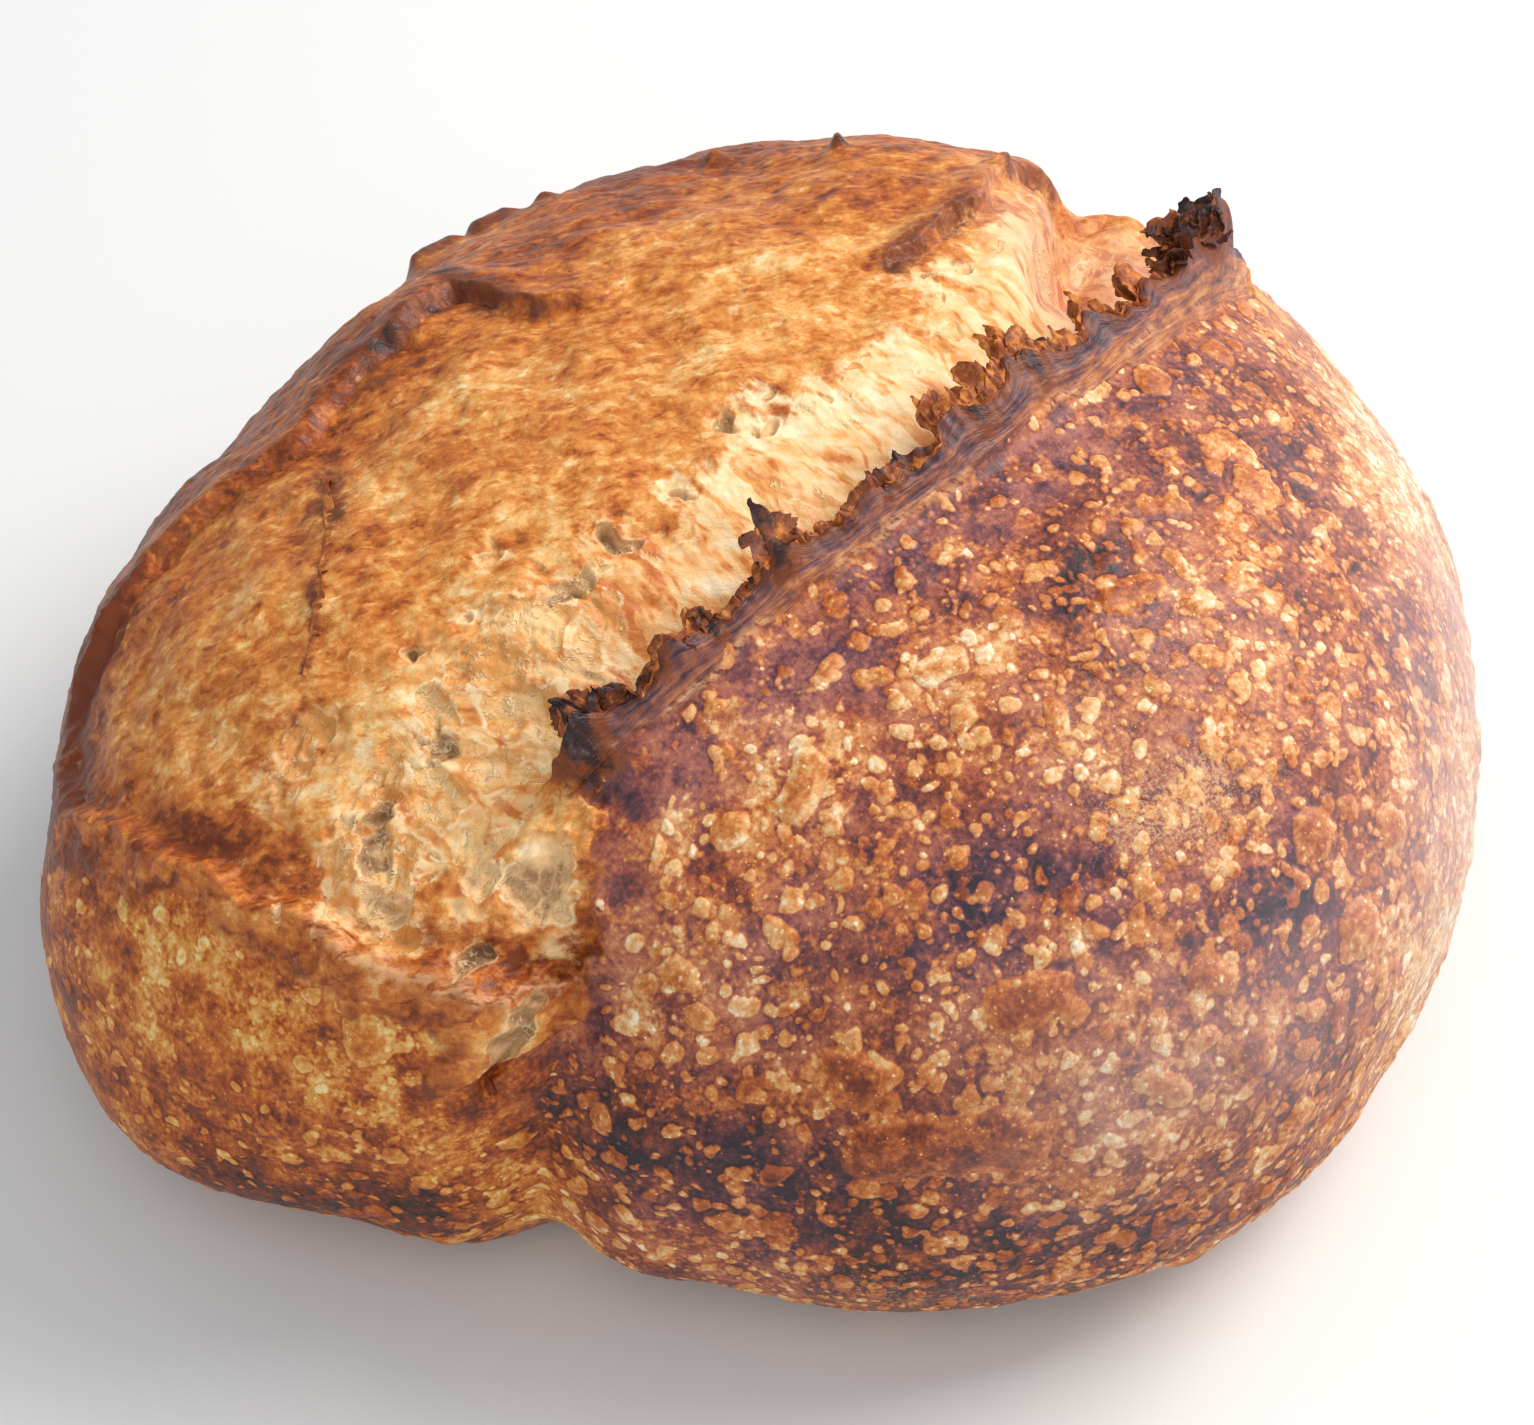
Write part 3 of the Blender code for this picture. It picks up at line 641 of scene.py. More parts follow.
@dataclass
class Char:
    """Burnt edges: along the ear's lip, along the bloom's folds and at the scar; along the far flap's
    edge they are partly painted shadow under its overhang.
    """

    lip: tuple = part_mm(2,  # x along the lip, half width, how burnt
        (-66, 6, 1.0), (-54, 5, 0.6), (-44, 4, 0.9), (-30, 6, 1.0), (-8, 7, 0.8), (12, 9, 0.9),
        (26, 7, 1.0), (48, 6, 0.4), (76, 9, 1.0),
    )
    tip: tuple = mm(-69, 8, -8.5, -4)  # x, half width, span of the start
    marks: tuple = part_mm(2,  # line, reach, how burnt; along the far flap's edge partly painted shadow
        (((-52, 58.5, 93), (-60, 48, 95.5)), 4.2, 0.7),
        (((-60, 48, 95.5), (-76.4, 34.3, 95), (-83, 28.5, 93)), 1.5, 0.55),
        (((-90, 25.6, 90),), 2.2, 0.45), (((-3, 84, 88), (-8.6, 70.6, 97), (-7, 57, 101)), 3.6, 1.0),
        (((-30, 71, 94), (-8.6, 72, 96)), 2.8, 0.85), (((-74.7, 76, 80), (-60, 68, 88.6)), 4.5, 0.4),
        (((-39, 69.6, 94), (-24, 64, 96)), 3, 0.5),
        (((60, 21, 101), (50, 19, 102.5), (38, 17.5, 104.7)), 4.5, 0.75),
        (((61.9, 50, 92.8),), 3, 0.9), (((5, 95.4, 76), (14, 95.4, 77)), 4, 0.7),
        (((18, 94.6, 78), (23, 93.7, 79)), 3.6, 0.8), (((52.4, 70.6, 86),), 3, 0.5),
        (((72, 27, 96), (91.4, 26.5, 80)), 2.4, 0.55), (((-69, -15, 98), (-61, -12, 99)), 5, 0.85),
        (((15, 29.7, 103.8),), 1.6, 0.4), (((-88.9, -6.5, 84.5), (-95.6, -5.4, 81.8)), 2.6, 0.42),
        (((22.9, 93, 77.8), (1, 96, 76)), 5, 0.5),
    )

    def on_lip(self, x: Array, start: Array, amount: Array, grain: Grain) -> Array:
        """Burn along the lip: bells along X, ragged, fading away from the edge."""
        line = on_x(x)
        burnt = 0.4 + 0.3 * grain.waves(line + 0.05, 9 * MM)
        for middle, half, much in self.lip:
            burnt = np.maximum(burnt, much * hump((x - middle) / half))
        width = 1.2 * MM + 2.2 * MM * burnt
        edge = burnt * hump((start + 0.6 * MM) / width) * np.minimum(amount, 1)
        middle, half, begins, full = self.tip
        blackened = hump((x - middle) / half) * fade(start, begins, full) * (1 - fade_mm(start, 0, 3))
        return np.maximum(edge, blackened)

    def on_folds(self, points: Array) -> Array:
        """Burn of the marks, partly painted shadow along the far flap's edge: the strongest bell of the
        distance to each line.
        """
        total = np.zeros(points.shape[:-1])
        for line, reach, much in self.marks:
            total = np.maximum(total, much * hump(near_line(points, line) / reach * 0.8))
        return total


class Dress(Enum):
    """Which finish a tile of the loaf gets."""

    CRUST = "blistered_crust"
    TORN = "torn_crust"
    HEEL = "heel_crust"


@dataclass(frozen=True)
class Tile:
    """A stretch of columns that becomes one piece."""

    name: str
    columns: int
    dress: Dress


@dataclass
class Loaf:
    """The whole surface of the loaf, from its form to its tiles."""

    dough: Dough
    slash: Slash
    bloom: Bloom
    crust: Crust
    char: Char
    sections: int = 760
    heel_columns: int = 50
    dome_columns: int = 440
    bloom_columns: int = 480
    bloom_crowding: float = 1.35
    heel_spread: float = 58 * DEG
    ear_steps: tuple = ((-11, -1, 36), (-1, 1, 14), (1, 6, 24), (6, 22, 46))
    seed: int = 7

    def __post_init__(self) -> None:
        """Draws the lattice and works out the whole surface."""
        self.grain = Grain(self.seed)
        self.lay_grid()
        self.raise_relief()
        self.mark_surface()

    def waves(self, shift: float, length: float, octaves: int = 3) -> Array:
        """The lattice's waves at the smooth body's points, with their length in millimetres."""
        return self.grain.waves(self.base + shift, length * MM, octaves)

    def ear_starts(self) -> Array:
        """Places across the slash of the ear's columns, closer together at the lip."""
        runs = [np.linspace(low, high, count, endpoint=False) for low, high, count in self.ear_steps]
        return np.concatenate(runs) * MM

    def lay_grid(self) -> None:
        """Smooth body on the grid: each section's columns are spread from heel to ear to heel."""
        line = np.linspace(0, 1, self.sections + 1)[1:-1]
        slash = self.slash.angle(self.dough, line)
        crossing = self.dough.point(line, slash)
        radius = np.hypot(crossing[:, 1], crossing[:, 2] - self.dough.girth)
        radius = np.maximum(radius, self.slash.least_radius)[:, None]
        ear = slash[:, None] + self.ear_starts()[None] / radius
        last = slash[:, None] + self.ear_steps[-1][1] * MM / radius
        heel = np.linspace(-self.heel_spread, self.heel_spread, self.heel_columns, endpoint=False)
        share = np.linspace(0, 1, self.dome_columns, endpoint=False)
        dome = self.heel_spread + (ear[:, :1] - self.heel_spread) * share
        share = np.linspace(0, 1, self.bloom_columns, endpoint=False) ** self.bloom_crowding
        far = last + (2 * np.pi - self.heel_spread - last) * share
        heel = np.broadcast_to(heel, (len(line), self.heel_columns))
        around = np.concatenate([heel, dome, ear, far], axis=1)
        along = np.broadcast_to(line[:, None], around.shape)
        self.start = (around - slash[:, None]) * radius
        self.base, self.across, self.normal = self.dough.frame(along, around)
        before_lip = int(np.searchsorted(self.ear_starts(), -1e-9))
        self.lip_column = self.heel_columns + self.dome_columns + before_lip

    def read_bloom(self) -> None:
        """Distances inside the bloom, for its relief and for its colours, with ragged edges."""
        base, x = self.base, self.base[..., 0]
        ragged = self.waves(0.6, 11, 4) * self.bloom.ragged
        near_side = near_line(base, mm((-69, -19, 94), (-90, -34, 73)))
        self.near_side = bell_mm(near_side, 16)
        ragged = ragged + self.waves(0.63, 7, 3) * 6 * MM * self.near_side
        above = base[..., 2] > self.dough.girth
        depth, self.edge_height = self.bloom.inside(base[..., :2], self.bloom.outline)
        self.in_bloom = np.where(above, depth + ragged, -1.0)
        wide = self.bloom.inside(base[..., :2], self.bloom.sides())[0] + ragged
        wide = wide + self.waves(0.66, 7, 4) * self.bloom.ragged
        wide = wide + 4.5 * MM * fade_mm(-x, 84, 94)
        begun = x + 6 * MM * self.waves(0.77, 7, 3)
        held = self.start + 40 * MM * (1 - fade_mm(begun, -78, -68)) + 40 * MM * fade_mm(x, 88, 98)
        self.torn = np.where(above, np.minimum(wide, held), -1.0)
        bent = self.grain.bend(base, 6 * MM, 2 * MM)
        for line, reach in self.bloom.tears:
            self.torn = np.maximum(self.torn, reach - near_line(bent, line))
        patchy = self.waves(0.9, 22) * 7 * MM + self.waves(0.97, 6, 4) * 4 * MM
        skin = np.minimum(base[..., 2] - 60 * MM, x + 100 * MM)
        self.skin = np.minimum(skin, base[..., 1] - 8 * MM) + patchy
        stops = np.array(self.bloom.crumb_edge)
        width = np.interp(x, stops[:, 0], stops[:, 1])
        frayed = self.waves(0.2, 14, 4) * 7.5 * MM
        self.crumb = np.minimum(width - self.start + frayed, self.torn - 5 * MM)
        self.crumb = np.minimum(self.crumb, (self.start - 2.2 * MM) * 1.5 + 8 * MM * fade_mm(-x, 72, 84))
        bent = self.grain.bend(base, 5 * MM, 2 * MM)
        for line, reach in self.bloom.islands:
            self.crumb = self.crumb - 12 * MM * hump(near_line(bent, line) / reach)

    def hole_marks(self) -> tuple[Array, Array]:
        """Distance into the open bubbles (negative outside), and how grey they are."""
        x = self.base[..., 0]
        bent = self.grain.bend(self.grain.bend(self.base, 6 * MM, 2.0 * MM), 2.0 * MM, 0.7 * MM)
        within = np.full(self.base.shape[:-1], -5 * MM)
        grey = np.zeros(self.base.shape[:-1])
        large = np.zeros(self.base.shape[:-1], dtype=bool)
        self.hole_depth = np.zeros(self.base.shape[:-1])
        for line, reach, depth, greyness in self.bloom.holes:
            inside = reach - near_line(bent, line)
            found = (inside, greyness, reach > 3 * MM)
            within, grey, large = deeper_of((within, grey, large), found)
            bowl = depth * (1 - (1 - np.clip(inside / reach, 0, 1)) ** 2)
            self.hole_depth = np.maximum(self.hole_depth, bowl)
        near_end = 0.12 + 0.98 * fade_mm(-x, 30, 70)
        fringe = 0.7 * bell_mm(self.crumb, 4, 2) * fade(self.waves(0.4, 16, 2), -0.1, 0.2)
        filled = (near_end + fringe) * fade_mm(self.crumb, -0.5, 2.5)
        crumb = self.crumb > -0.5 * MM
        around = within + 1.2 * MM + self.waves(0.7, 5, 3) * 3 * MM
        within_fold = 3.5 * MM + 4.5 * MM * fade_mm(-x, 84, 94)
        self.crumb = np.maximum(self.crumb, np.minimum(around, self.torn - within_fold))
        for turn, (cell, wall, deep, share) in enumerate(self.bloom.foam):
            gap, tone = self.grain.cells(bent[crumb] + 0.7 + 0.1 * turn, cell)
            inside = np.where(tone < filled[crumb] * share, gap - wall, -MM)
            lot = tone * 7 % 1
            self.hole_depth[crumb] += deep * (0.4 + lot) * fade(inside, 0, 0.2 * cell)
            now = (within[crumb], grey[crumb])
            within[crumb], grey[crumb] = deeper_of(now, (inside, 0.7 * lot))
        wide = large & (within > 0.6 * MM)
        gap, tone = self.grain.cells(bent[wide] + 0.93, 4.2 * MM)
        between = 3.0 * gap - 0.25 * MM + 2 * MM * np.maximum(tone - 0.3, 0)
        within[wide] = np.minimum(within[wide], between)
        self.hole_depth = self.hole_depth - 0.14 * MM * bell_mm(within, 0.3)
        self.hole_depth = self.hole_depth - 0.4 * MM * fade_mm(within, 0, 1) * (
            0.6 - np.abs(self.grain.waves(bent + 0.3, 3.0 * MM, 3)) * 2)
        return within, grey

    def bloom_relief(self) -> Array:
        """Height of the bloom: sunk below a raised torn edge, lumpy, ridged along its fibres."""
        depth = self.in_bloom
        upper = fade(self.base[..., 2], self.dough.girth, self.dough.girth + 10 * MM)
        edge = self.edge_height
        rim = edge * np.where(depth < 0, hump(depth / self.bloom.edge_outer), 1)
        drop = (edge + self.bloom.sink) * fade(depth, 0, self.bloom.edge_inner)
        rise = rim - drop + self.bloom.sink * fade_mm(depth, 10, 30)
        for x, y, half_length, half_width, bearing, deep in self.bloom.dents:
            away_x, away_y = self.base[..., 0] - x, self.base[..., 1] - y
            along = away_x * np.cos(bearing) + away_y * np.sin(bearing)
            across = away_y * np.cos(bearing) - away_x * np.sin(bearing)
            girth = fade(self.base[..., 2], self.dough.girth, self.dough.girth + 25 * MM)
            rise = rise - deep * hump(np.hypot(along / half_length, across / half_width)) * girth
        for line, reach, height in self.bloom.lumps:
            rise = rise + height * hump(near_line(self.base[..., :2], line) / reach)
        crest = bell_mm(depth, 0.9, -0.2) * fade_mm(-self.base[..., 0], 84, 94)
        return (rise + 0.45 * MM * crest) * upper

    def fibre_relief(self) -> Array:
        """Fine height of the torn skin and crumb: lumps, ridges along the fibres, a step."""
        flow = self.bloom.flow(self.base, self.grain)
        long = np.array(mm(9, 2.2, 4))
        self.streak = self.grain.waves(flow, long, 3)
        folds = self.grain.waves(flow + 0.4, np.array(mm(26, 8, 12)), 2)
        self.fold = folds
        ridges = 1 - np.abs(self.grain.waves(flow + 0.8, long * 1.2, 3)) * 2
        lumps = self.waves(0.15, 14, 4)
        within = np.clip(np.maximum(self.torn, self.skin) / (3 * MM), 0, 1)
        in_crumb = fade_mm(self.crumb, -0.8, 1.0)
        rise = 1.3 * MM * lumps + 0.45 * MM * folds + 0.1 * MM * ridges + 0.1 * MM * self.streak
        rise = rise + 0.35 * MM * ridges * bell_mm(self.torn, 4, 1.5) * fade_mm(-self.start, -200, -8)
        rise = rise * (1 - 0.75 * fade_mm(self.base[..., 0], 50, 66) * in_crumb)
        rise = rise + 1.6 * MM * self.waves(0.31, 5, 4) * self.near_side
        rise = rise - in_crumb * 0.7 * MM
        web = 1 - np.abs(self.waves(0.5, 6, 4)) * 2
        rise = rise + in_crumb * web * 0.25 * MM
        return rise * within

    def raise_relief(self) -> None:
        """Moves the body's points across the slash and along their normals to the final form."""
        x = self.base[..., 0]
        self.read_bloom()
        self.hole, self.grey = self.hole_marks()
        self.thick = self.crust.thickness(self.base, self.start)
        self.crust_share = 1 - fade_mm(np.maximum(self.torn, self.skin), -1.5, 1.5)
        low = fade_mm(self.base[..., 2], 3, 14)
        wander = self.waves(0.05, 8, 3) * 1.6 * MM + 2.4 * MM * fade_mm(x, 20, 50)
        behind = 1 - fade_mm(self.start + wander, -4.8, -2.8) * np.minimum(self.slash.amount(x), 1)
        thick = self.thick * (0.25 + 0.75 * self.crust_share)
        self.blister, rise, self.tone = self.crust.blisters(self.base, thick, self.grain)
        self.blister_share = self.crust_share * behind
        swell = rise * self.blister_share * low
        swell = swell + self.waves(0.33, 24, 4) * 0.9 * MM * self.crust_share
        lean, lift = self.slash.shift(x, self.start, self.grain)
        band = (1 - behind) * (1 - fade_mm(self.start, 1, 5))
        stretch = np.stack([x, self.start * 1.6, 0 * x], axis=-1)
        cords = self.grain.waves(stretch + 0.12, np.array([24 * MM, 1.9 * MM, 1]), 3)
        lift = lift + band * cords * 0.5 * MM
        lift = lift + self.slash.valley(x, self.start) + self.bloom_relief()
        lift = lift + self.fibre_relief() - self.hole_depth * (1 - self.blister_share)
        lift = lift + self.furrow() + swell
        lift = lift * fade(self.base[..., 2], 0, self.dough.heel_round)
        point = self.base + lean[..., None] * self.across + lift[..., None] * self.normal
        point[..., 2] = np.maximum(point[..., 2], 0)
        point[..., :2] -= np.array(self.dough.middle)
        self.points = point
        self.cords = cords
        self.band = band
        self.normals = self.grid_normals(point)

    def furrow(self) -> Array:
        """Furrow between the near-end cap and the dome, and a smaller crease inside it."""
        line = mm((-92, -35, 76), (-104, -36, 52), (-104, -34, 18), (-92, -31, 0.0))
        away = near_line(self.base, line)
        return -7.5 * MM * bell_mm(away, 14) - 0.8 * MM * bell_mm(away, 2.4)

    @staticmethod
    def grid_normals(points: Array) -> Array:
        """Outward normals: cross product of the grid's central differences."""
        ahead = np.gradient(points, axis=0)
        across = np.roll(points, -1, axis=1) - np.roll(points, 1, axis=1)
        normal = np.cross(ahead, across)
        return normal / np.maximum(np.linalg.norm(normal, axis=-1, keepdims=True), 1e-12)

    def skin_tones(self) -> Array:
        """Tone of the golden skin: streaked and mottled, darker at its folds and far off, with painted
        shade under the ear's lip and beside the near-end fold.
        """
        x, y, z = np.moveaxis(self.base, -1, 0)
        # painted shade: the skin drawn darker right under the ear's lip
        under = bell_mm(self.start, 3) * np.minimum(self.slash.amount(x), 1)
        tone = 0.5 + 0.14 * self.streak + 0.16 * self.fold - 0.35 * under
        tone = tone + 0.22 * self.waves(0.95, 19, 4)
        tone = tone + 0.1 * bell_mm(self.crumb, 7, -4)
        bare = fade_mm(x, -4, 6) * (1 - fade_mm(x, 30, 42))
        tone = tone - 0.2 * bell_mm(self.torn, 5) * (1 + fade_mm(-x, 70, 90) - bare)
        # painted shade: the skin drawn darker beside the near-end fold, under the fold's roll
        painted_fold_shade = bell_mm(self.in_bloom, 6, 2.5) * fade_mm(-x, 78, 92)
        tone = tone - 0.46 * painted_fold_shade * (1 - fade_mm(-x, 108, 118))
        tone = tone - 0.12 * fade_mm(x, 10, 50) * fade_mm(y, 20, 40)
        tone = tone - 0.02 * fade_mm(-x, 70, 110) - 0.08 * bell_mm(x, 44, -40)
        slopes = ((y, 56, 80, -0.24), (y, 30, 50, -0.05), (-self.start, -34, -18, 0.1),
                  (-z, -74, -58, -0.16))
        for way, begins, full, amount in slopes:
            tone = tone + amount * fade_mm(way, begins, full)
        return tone

    def crumb_tones(self) -> Array:
        """Tone of the pale crumb: streaked, darker at both ends of the bloom."""
        x = self.base[..., 0]
        uneven = 0.4 * self.streak + 0.34 * self.waves(0.1, 11, 4)
        uneven = uneven * (1 - 0.7 * fade_mm(x, 50, 66))
        tone = 0.3 + 0.26 * fade_mm(x, -76, 10) + uneven
        return tone - 0.34 * fade_mm(x, 54, 80)

    def mark_surface(self) -> None:
        """Works out the masks that the finishes read, as one float for each point."""
        base, grain, x = self.base, self.grain, self.base[..., 0]
        bake = 0.41 + 0.22 * self.waves(0.45, 30, 2) + 0.15 * self.waves(0.65, 8, 3)
        bent = grain.bend(base, 12 * MM, 3.5 * MM)
        bake = bake + self.crust.patches(bent, self.crust.dark)
        bake = bake - self.crust.patches(bent, self.crust.light)
        # darker towards the bottom: painted shade low on the sides
        bake = bake + 0.12 * fade_mm(-base[..., 2], -26, -4)
        plum = 0.46 + 0.6 * self.waves(0.25, 17, 3) + self.crust.patches(bent, self.crust.plum)
        plum = plum - 0.9 * fade_mm(-x, 92, 108)
        flour = self.crust.patches(bent, self.crust.flour)
        char = self.char.on_lip(x, self.start, self.slash.amount(x), grain)
        char = char * (0.75 + 0.6 * self.waves(0.55, 3.5, 3))
        folds = self.char.on_folds(grain.bend(base, 5 * MM, 1.5 * MM))
        rough = 0.75 + 0.5 * self.waves(0.85, 4, 3)
        char = np.maximum(char, folds * rough)
        # painted highlight: a pale line along the bloom's fold at the near end and, fainter, along the
        # ear's crease
        fold_painted_highlight = bell_mm(self.in_bloom, 0.8, -0.2) * fade_mm(-x, 84, 94)
        fold_painted_highlight = fold_painted_highlight * (1 - fade_mm(base[..., 1], -8, 10))
        wander = self.start + 4.1 * MM + 1.3 * MM * self.waves(0.35, 8, 4)
        crease = bell_mm(wander, 0.7) * np.minimum(self.slash.amount(x), 1)
        crease = crease * fade(self.waves(0.15, 14, 3), -0.3, 0.2)
        self.marks = {
            "bake": bake, "plum": plum, "flour": flour, "char": char,
            # painted sheen on the crust, and painted shade on the far crumb
            "haze": self.crust.patches(bent, self.crust.haze),
            "painted_highlight": np.maximum(fold_painted_highlight, 0.9 * crease),
            "torn": np.clip(np.maximum(self.torn, self.skin) / MM, -6, 6),
            "crumb": np.clip(self.crumb / MM, -6, 6),
            "skin_tone": self.skin_tones(),
            "crumb_tone": self.crumb_tones(),
            "hole": np.clip(self.hole / MM, -3, 3), "grey": self.grey, "band": self.band,
            "cords": self.cords + fade_mm(x, 16, 44) * (1.2 * bell_mm(self.start, 2.6, -4.6) - 0.4),
            "start": self.start,
            "heel": 1 - fade_mm(base[..., 2], 1.5, 7),
            "blister": np.where(self.blister_share > 0.5, np.clip(self.blister / MM, -1, 2), -1),
            "tone": self.tone, "seeds": self.thick * self.blister_share,
        }

    def tiles(self) -> list[Tile]:
        """The loaf's pieces, in the order of their columns."""
        dome = self.dome_columns // 4
        far = self.bloom_columns // 4
        ear = sum(step[2] for step in self.ear_steps)
        groups = (
            (self.heel_columns, Dress.HEEL, ("heel",)),
            (dome, Dress.CRUST, ("dome_foot", "dome_low", "dome_middle")),
            (dome, Dress.TORN, ("dome_high",)),
            (ear, Dress.TORN, ("ear",)),
            (far, Dress.TORN, ("bloom_inner", "bloom_middle", "bloom_outer", "far_side")),
        )
        return [Tile(name, columns, dress) for columns, dress, names in groups for name in names]

    def build(self, finishes: dict[Dress, Material]) -> list[Piece]:
        """Makes every tile as an object with its masks, normals and finish."""
        made = []
        first = 0
        for tile in self.tiles():
            made.append(self.build_tile(tile, first, finishes[tile.dress]))
            first += tile.columns
        return made

    def build_tile(self, tile: Tile, first: int, finish: Material) -> Piece:
        """One tile: quads between neighbouring sections and a fan of triangles at each tip.

        Args:
            tile: the stretch of columns.
            first: its first column.
            finish: its material.

        Returns:
            The object.
        """
        rows, total = self.points.shape[:2]
        pick = np.arange(first, first + tile.columns + 1) % total
        wide = len(pick)
        tips = self.dough.point(np.array([0.0, 1.0]), np.array([np.pi / 2, np.pi / 2]))
        tips[:, :2] -= np.array(self.dough.middle)
        flat = np.concatenate([self.points[:, pick].reshape(-1, 3), tips])
        ends = np.array([[-1.0, 0, 0], [1.0, 0, 0]])
        normals = np.concatenate([self.normals[:, pick].reshape(-1, 3), ends])
        cell = np.arange((rows - 1) * wide).reshape(rows - 1, wide)[:, :-1]
        quads = np.stack([cell, cell + wide, cell + wide + 1, cell + 1], axis=-1).reshape(-1, 4)
        column = np.arange(wide - 1)
        near = np.stack([np.full(wide - 1, rows * wide), column, column + 1], axis=-1)
        last = (rows - 1) * wide
        far = np.stack([np.full(wide - 1, rows * wide + 1), last + column + 1, last + column], axis=-1)
        share = np.linspace(0, 1, wide)[None] + 0 * np.arange(rows)[:, None]
        climb = (np.arange(1, rows + 1) / (rows + 1))[:, None] + 0 * share
        at_tips = np.array([[share.mean(), 0.0], [share.mean(), 1.0]])
        chart = np.concatenate([np.stack([share, climb], axis=-1).reshape(-1, 2), at_tips])
        marks = {name: np.concatenate([value[:, pick].ravel(), value[[0, -1], first]])
                 for name, value in self.marks.items()}
        return make_piece(tile.name, flat, [near, far, quads], finish, normals, chart, marks)


def make_piece(name: str, points: Array, faces: list[Array], finish: Material,
               normals: Array | None = None, chart: Array | None = None,
               marks: dict[str, Array] | None = None) -> Piece:
    """Puts arrays into a mesh and ties its object to the loaf.

    Args:
        name: the piece's name.
        points: its places.
        faces: arrays of corner numbers, one array for each number of corners.
        finish: its material.
        normals: shading normal of each point, or none for the mesh's own.
        chart: place of each point on the flat map, or none.
        marks: float masks, one value for each point.

    Returns:
        The object, riding on the loaf's body.
    """
    mesh = bpy.data.meshes.new(name)
    corners = np.concatenate([part.ravel() for part in faces]).astype(np.int32)
    sizes = np.concatenate([np.full(len(part), part.shape[1]) for part in faces])
    mesh.vertices.add(len(points))
    mesh.vertices.foreach_set("co", points.astype(np.float32).ravel())
    mesh.loops.add(len(corners))
    mesh.loops.foreach_set("vertex_index", corners)
    mesh.polygons.add(len(sizes))
    mesh.polygons.foreach_set("loop_start", (np.cumsum(sizes) - sizes).astype(np.int32))
    mesh.update(calc_edges=True)
    mesh.shade_smooth()
    if chart is not None:
        layer = mesh.uv_layers.new(name=BAKE_MAP)
        layer.data.foreach_set("uv", chart[corners].astype(np.float32).ravel())
    for key, value in (marks or {}).items():
        layer = mesh.attributes.new(key, "FLOAT", "POINT")
        layer.data.foreach_set("value", value.astype(np.float32))
    mesh.materials.append(finish)
    if normals is not None:
        mesh.normals_split_custom_set_from_vertices(normals.astype(np.float32))
    piece = link(name, mesh)
    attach(piece, BODY)
    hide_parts(NODE)
    return piece


def link(name: str, data: bpy.types.ID) -> Piece:
    """A new object in the scene."""
    made = bpy.data.objects.new(name, data)
    bpy.context.scene.collection.objects.link(made)
    return made


def tube_faces(count: int, loop: int, turned: bool = False) -> list[Array]:
    """Faces of a closed tube of loops: quads between them, and a fan on the first and the last.

    Args:
        count: number of loops.
        loop: points of each loop; the middles of the first and last loop follow the last point.
        turned: whether the loops run the other way round.

    Returns:
        Corner numbers of the quads and of the two fans.
    """
    cell = np.arange((count - 1) * loop).reshape(-1, loop)
    beside = np.roll(cell, -1, axis=1)
    ring = np.arange(loop)
    after = np.roll(ring, -1)
    body, last = count * loop, (count - 1) * loop
    faces = [
        np.stack([cell, beside, beside + loop, cell + loop], axis=-1).reshape(-1, 4),
        np.stack([np.full(loop, body), after, ring], axis=-1),
        np.stack([np.full(loop, body + 1), last + ring, last + after], axis=-1),
    ]
    return [face[:, [0, *range(face.shape[1] - 1, 0, -1)]] if turned else face for face in faces]


def lean_away(points: Array) -> Array:
    """Bends what stands above the lip over the bloom: most of its height turns sideways."""
    above = np.maximum(points[..., 2] - LIP_TOP, 0) * LIP_LEAN
    return points - above[..., None] * np.array(LEAN_WAY)


@dataclass
class Path:
    """A line on the finished loaf with the surface's directions beside it."""

    places: Array
    along: Array
    across: Array
    up: Array

    @classmethod
    def on_lip(cls, loaf: Loaf, first: float, last: float, gap: float) -> "Path":
        """Path along the ear's lip between two places on X, with a point every `gap`."""
        column = loaf.lip_column
        line = loaf.points[:, column]
        x = np.arange(first, last, gap) - loaf.dough.middle[0]
        read = [read_at(x, line[:, 0], value[:, column])
                for value in (loaf.points, loaf.across, loaf.normal)]
        return cls(read[0], np.cross(read[1], read[2]), read[1], read[2])

    @classmethod
    def on_crown(cls, loaf: Loaf, stops: tuple, gap: float) -> "Path":
        """Path over the crown through stops seen from above, laid on the nearest vertices."""
        stops = np.array(stops) - np.array(loaf.dough.middle)
        reach = way_along(stops)
        coarse = np.linspace(0, reach[-1], max(int(reach[-1] / (1.5 * MM)), 3))
        plan = read_at(coarse, reach, stops)
        crown = loaf.points[..., 2] > loaf.dough.girth
        points, normals = loaf.points[crown], loaf.normal[crown]
        near = [int(((points[:, :2] - spot) ** 2).sum(axis=1).argmin()) for spot in plan]
        fine = np.arange(0, reach[-1], gap)
        places = read_at(fine, coarse, points[near])
        up = unit(read_at(fine, coarse, normals[near]))
        along = np.gradient(places, axis=0)
        along = unit(along - (along * up).sum(axis=1, keepdims=True) * up)
        return cls(places, along, np.cross(up, along), up)


